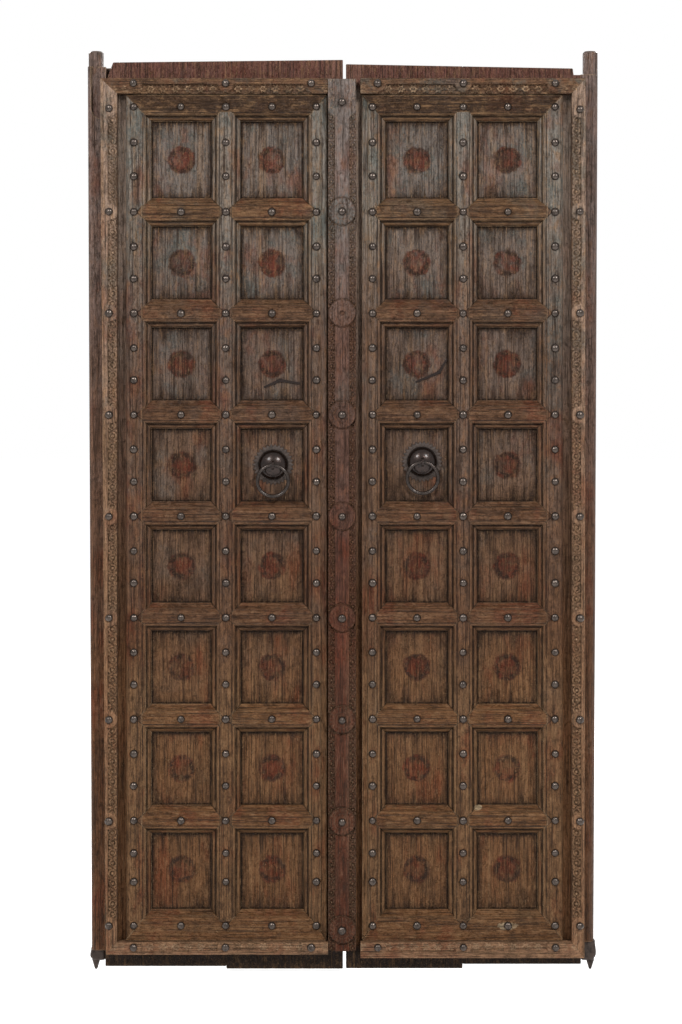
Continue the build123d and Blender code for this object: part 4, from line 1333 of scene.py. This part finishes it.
@dataclass(frozen=True)
class RingPull:
    """One leaf's pull: a toothed plate, a dome and the ring that hangs from the eye at its nose."""

    leaf: Leaf
    finishes: Finishes
    x: float
    z: float
    plate_radius: float = 0.0485
    tooth: float = 0.006
    teeth: int = 30
    plate: float = 0.0025
    dome: float = 0.0343
    rim: float = 0.035
    dome_height: float = 0.022
    rim_height: float = 0.003
    eye_depth: float = 0.05
    ring: float = 0.036
    wire: float = 0.00425
    edge: float = 0.001
    dip: float = 0.0003
    dome_sides: int = 64
    dome_rows: int = 16
    ring_sides: int = 72
    wire_sides: int = 14

    def turned(self, out: Array, depth: Array, around: Array) -> Array:
        """Turns a profile about the pull's middle.

        Args:
            out: How far from the middle each point of the profile is, or a grid of that.
            depth: How far in front of the planks' middle it is.
            around: The angles.

        Returns:
            One line of three coordinates for each point.
        """
        out = np.broadcast_to(out if out.ndim == 2 else out[:, None], (len(depth), len(around)))
        x = self.x + out * np.cos(around)
        z = self.z + out * np.sin(around)
        return as_points(x, -depth[:, None] + 0 * x, z)

    def build_plate(self) -> bpy.types.Object:
        """The plate's edge runs out and in with a triangle wave, and its face dips a little to the edge.

        Returns:
            The plate's object.
        """
        around = circle(8 * self.teeth)
        wave = np.abs((around * self.teeth / (2 * math.pi)) % 1 * 2 - 1)
        edge = self.plate_radius - self.tooth * (1 - wave)
        shares = np.array([0, 1, 1, 0.97, 0.8, 0])
        front = FACE_DEPTH + self.plate
        depth = np.array([FACE_DEPTH, FACE_DEPTH, front - self.edge, front - self.dip, front, front])
        points = self.turned(shares[:, None] * edge, depth, around)
        faces = grid_faces(len(shares), len(around), True)
        return make_piece(f"{self.leaf.label}_toothed_plate", points, faces)

    def build_dome(self) -> bpy.types.Object:
        """The dome's profile: a flat rim, then a quarter of an ellipse up to the nose.

        Returns:
            The dome's object.
        """
        around = circle(self.dome_sides)
        seat = FACE_DEPTH + self.plate
        turn = np.linspace(0, math.pi / 2, self.dome_rows)
        out = np.concatenate([[0, self.rim, self.rim, self.rim - self.edge], self.dome * np.cos(turn)])
        low = seat + self.rim_height
        depth = np.concatenate([[seat, seat, low - self.edge, low], low + self.dome_height * np.sin(turn)])
        points = self.turned(out, depth, around)
        return make_piece(f"{self.leaf.label}_dome", points, grid_faces(len(out), len(around), True))

    def build_ring(self) -> bpy.types.Object:
        """The ring: a round wire carried about a circle that hangs from the eye, worn thin at its top.

        Returns:
            The ring's object.
        """
        around, about = np.meshgrid(circle(self.ring_sides), circle(self.wire_sides), indexing="ij")
        wire = self.wire * (1 - 0.1 * np.exp(-(((around - math.pi / 2) / 0.35) ** 2)))
        out = self.ring + wire * np.cos(about)
        x = self.x + out * np.cos(around)
        z = self.z - self.ring + out * np.sin(around)
        points = as_points(x, -self.eye_depth + wire * np.sin(about), z)
        rows, columns = around.shape
        faces = grid_faces(rows + 1, columns, True) % (rows * columns)
        return make_piece(f"{self.leaf.label}_hand_ring", points, faces)

    def build(self) -> None:
        """Builds and dresses the pull."""
        side = self.leaf.label
        set_piece(self.build_plate(), self.finishes.plate, self.leaf.body, "iron", f"{side}_ring_plate")
        set_piece(self.build_dome(), self.finishes.dome, self.leaf.body, "iron", f"{side}_ring_boss")
        set_piece(self.build_ring(), self.finishes.ring, f"{side}_ring", "iron", f"{side}_pull_ring")


@dataclass(frozen=True)
class PivotFoot:
    """One leaf's foot: the forged shoe that fills the corner beside the planks, and the spike under it."""

    leaf: Leaf
    finishes: Finishes
    x: float
    top: float
    y: float = 0.012
    plank_gap: float = 0.0245
    narrow: float = 0.008
    widest: float = 0.0135
    half_thickness: float = 0.0155
    foot: float = 0.024
    bore: float = 0.006
    bore_depth: float = 0.0148
    thrust_gap: float = 0.0002
    inner_rounding: float = 0.003
    half_rounding: float = 0.002
    shank: float = 0.0055
    shank_top: float = 0.0378
    spike: float = 0.0095
    tip: float = 0.0036
    sides: int = 48

    def rings(self, inner: Array, outer: Array, half: Array, bend: Array, z: Array) -> Array:
        """Stacks closed rings: each is a rounded box, a cosine and a sine each raised to a power.

        Args:
            inner: How far each ring reaches towards the seam from the pivot.
            outer: How far it reaches away from the seam.
            half: Half its thickness.
            bend: The power, 1 for an ellipse and less for a squarer ring.
            z: Its height.

        Returns:
            One line of three coordinates for each point.
        """
        around = circle(self.sides)
        along, across = (
            np.sign(wave) * np.abs(wave) ** bend[:, None] for wave in (np.cos(around), np.sin(around))
        )
        out = (outer - inner)[:, None] / 2 + (outer + inner)[:, None] / 2 * along
        y = self.y + half[:, None] * across
        return as_points(self.leaf.value * (self.x + out), y, z[:, None] + 0 * y)

    def build_shoe(self) -> bpy.types.Object:
        """The shoe: up its bore, then from the foot out to its widest and in to the post, as rounded boxes.

        Returns:
            The shoe's object.
        """
        rise = np.linspace(0, 1, 14)
        bulge = ease(0.0, 0.3, rise) * (1 - 0.45 * ease(0.4, 1.0, rise))
        flare = between(self.narrow, self.widest, bulge)
        ends = np.array([0.0, self.bore, self.bore])
        low = ease(0.12, 0.0, rise)
        inner = np.concatenate([ends, self.plank_gap - self.inner_rounding * low, [0.0]])
        outer = np.concatenate([ends, flare, [0.0]])
        half = np.concatenate([ends, self.half_thickness - self.half_rounding * low, [0.0]])
        bend = np.concatenate([np.ones(3), np.full(len(rise) + 1, 0.5)])
        high = self.foot + self.bore_depth
        z = np.concatenate([[high, high, self.foot], between(self.foot, self.top, rise), [self.top]])
        points = self.rings(inner, outer, half, bend, z)
        return make_piece(f"{self.leaf.label}_forged_shoe", points, grid_faces(len(z), self.sides, True))

    def spike_points(self) -> Array:
        """The spike: a blunt tip, a cone up to the shoe and a straight shank in its bore.

        Returns:
            One line of three coordinates for each point.
        """
        seat = self.foot - self.thrust_gap
        radius = np.array([0, 0.6 * self.tip, self.tip, self.spike, self.spike, self.shank, self.shank, 0])
        z = np.array([0, 0.0004, 0.0024, seat - 0.002, seat, seat, self.shank_top, self.shank_top])
        return self.rings(radius, radius, radius, np.ones(len(z)), z)

    def build(self) -> None:
        """Builds and dresses the shoe."""
        side = self.leaf.label
        set_piece(self.build_shoe(), self.finishes.shoe, self.leaf.body, "iron", f"{side}_pivot_shoe")


def build_spikes(feet: list[PivotFoot], finishes: Finishes) -> None:
    """Makes both spikes one piece, as they stand in the sill together.

    Args:
        feet: The leaves' feet.
        finishes: The door's finishes.
    """
    points = np.concatenate([foot.spike_points() for foot in feet])
    rows = len(points) // (len(feet) * feet[0].sides)
    cells = grid_faces(rows, feet[0].sides, True)
    faces = np.concatenate([cells + step * rows * feet[0].sides for step in range(len(feet))])
    set_piece(make_piece("pivot_spikes", points, faces), finishes.shoe, "sill_pivots", "iron", "pivot_pins")


@dataclass(frozen=True)
class Studio:
    """A pale floor, soft lamps before and behind the door, and a level camera."""

    camera_place: tuple[float, float, float] = (-0.008, -4.99, 1.392)
    focal_mm: float = 75.0
    drop_share: float = -0.1337
    lamp_place: tuple[float, float, float] = (2.1, 3.8, 3.8)
    lamp_size: float = 1.1
    lamp_power: float = 125.0
    right_share: float = 1.15
    aim_height: float = 1.1
    sky_level: float = 0.2
    floor_reach: float = 30.0
    floor_glow: float = 0.85

    def build_floor(self) -> None:
        """Lays a wide floor that shows white but keeps some of the door's shadow."""
        corners = [(-1.0, -1.0, 0.0), (1.0, -1.0, 0.0), (1.0, 1.0, 0.0), (-1.0, 1.0, 0.0)]
        floor = make_piece("floor", self.floor_reach * np.array(corners), np.array([[0, 1, 2, 3]]))
        bench = Bench(bpy.data.materials.new("floor_white"))
        bench.feed(bench.shader, {"Base Color": (0.9, 0.9, 0.9, 1.0), "Roughness": 1.0})
        white = Value(bench, bench.shader.outputs[0])
        glow = bench.value("ShaderNodeEmission", {"Strength": bench.seen() * self.floor_glow})
        both = bench.value("ShaderNodeAddShader", {0: white, 1: glow})
        bench.feed(bench.tree.nodes["Material Output"], {"Surface": both})
        floor.data.materials.append(bench.owner)

    def build_world(self) -> None:
        """Gives an even pale sky, which the camera and the metal see as white."""
        world = bpy.data.worlds.new("studio")
        bpy.context.scene.world = world
        bench = Bench(world, "Background")
        levels = {"Value": bench.seen(), "To Min": self.sky_level, "To Max": 1.0}
        level = bench.value("ShaderNodeMapRange", levels)
        bench.feed(bench.shader, {"Strength": level, "Color": (1.0, 1.0, 1.0, 1.0)})

    def build_lamp(self, name: str, place: tuple[float, float, float], power: float) -> None:
        """Hangs a square soft lamp that faces the door's middle.

        Args:
            name: The lamp's name.
            place: Where it hangs.
            power: Its power in watts.
        """
        lamp = bpy.data.lights.new(name, "AREA")
        lamp.energy = power
        lamp.size = self.lamp_size
        piece = bpy.data.objects.new(name, lamp)
        piece.location = place
        aim = np.array((0.0, 0.0, self.aim_height)) - np.array(place)
        piece.rotation_euler = (
            math.atan2(math.hypot(aim[0], aim[1]), -aim[2]),
            0.0,
            math.atan2(-aim[0], aim[1]),
        )
        bpy.context.scene.collection.objects.link(piece)

    def build_camera(self) -> None:
        """Sets the level camera at the photo's distance, with its view dropped to frame the door."""
        lens = bpy.data.cameras.new("camera")
        lens.lens = self.focal_mm
        lens.sensor_width = 36.0
        lens.shift_y = self.drop_share
        camera = bpy.data.objects.new("camera", lens)
        camera.location = self.camera_place
        camera.rotation_euler = (math.pi / 2, 0.0, 0.0)
        bpy.context.scene.collection.objects.link(camera)
        bpy.context.scene.camera = camera

    def build(self) -> None:
        """Builds the studio."""
        bpy.context.scene.view_settings.view_transform = "Standard"
        self.build_floor()
        self.build_world()
        across, away, up = self.lamp_place
        for name, y, right_share in (("lamp", -away, self.right_share), ("lamp_behind", away, 1.0)):
            for leaf, share in ((Leaf.LEFT, 1.0), (Leaf.RIGHT, right_share)):
                self.build_lamp(f"{name}_{leaf.label}", (leaf.value * across, y, up), self.lamp_power * share)
        self.build_camera()


def main() -> None:
    """Builds the door's pieces in order, and the studio."""
    logging.basicConfig(level=logging.INFO, format="%(name)s: %(message)s")
    finishes = Finishes()
    Borders(Leaf.LEFT, finishes).build()
    Borders(
        Leaf.RIGHT,
        finishes,
        corner_top_x=0.559,
        corner_foot_x=0.556,
        start_x=0.037,
        foot=0.041,
        high_boss_z=2.008,
    ).build()
    CoverStrip(finishes).build()
    for leaf, (x, z) in ((Leaf.LEFT, LEFT_PULL), (Leaf.RIGHT, RIGHT_PULL)):
        RingPull(leaf, finishes, leaf.value * x, z).build()
    feet = [PivotFoot(Leaf.LEFT, finishes, 0.582, 0.051), PivotFoot(Leaf.RIGHT, finishes, 0.576, 0.068)]
    for foot in feet:
        foot.build()
    build_spikes(feet, finishes)
    for leaf in Leaf:
        Studs(leaf, finishes).build()
    joinery = Joinery(finishes)
    for leaf in Leaf:
        LowMoulding(leaf, finishes).build(joinery)
    joinery.dress()
    Studio().build()


if __name__ == "__main__":
    main()
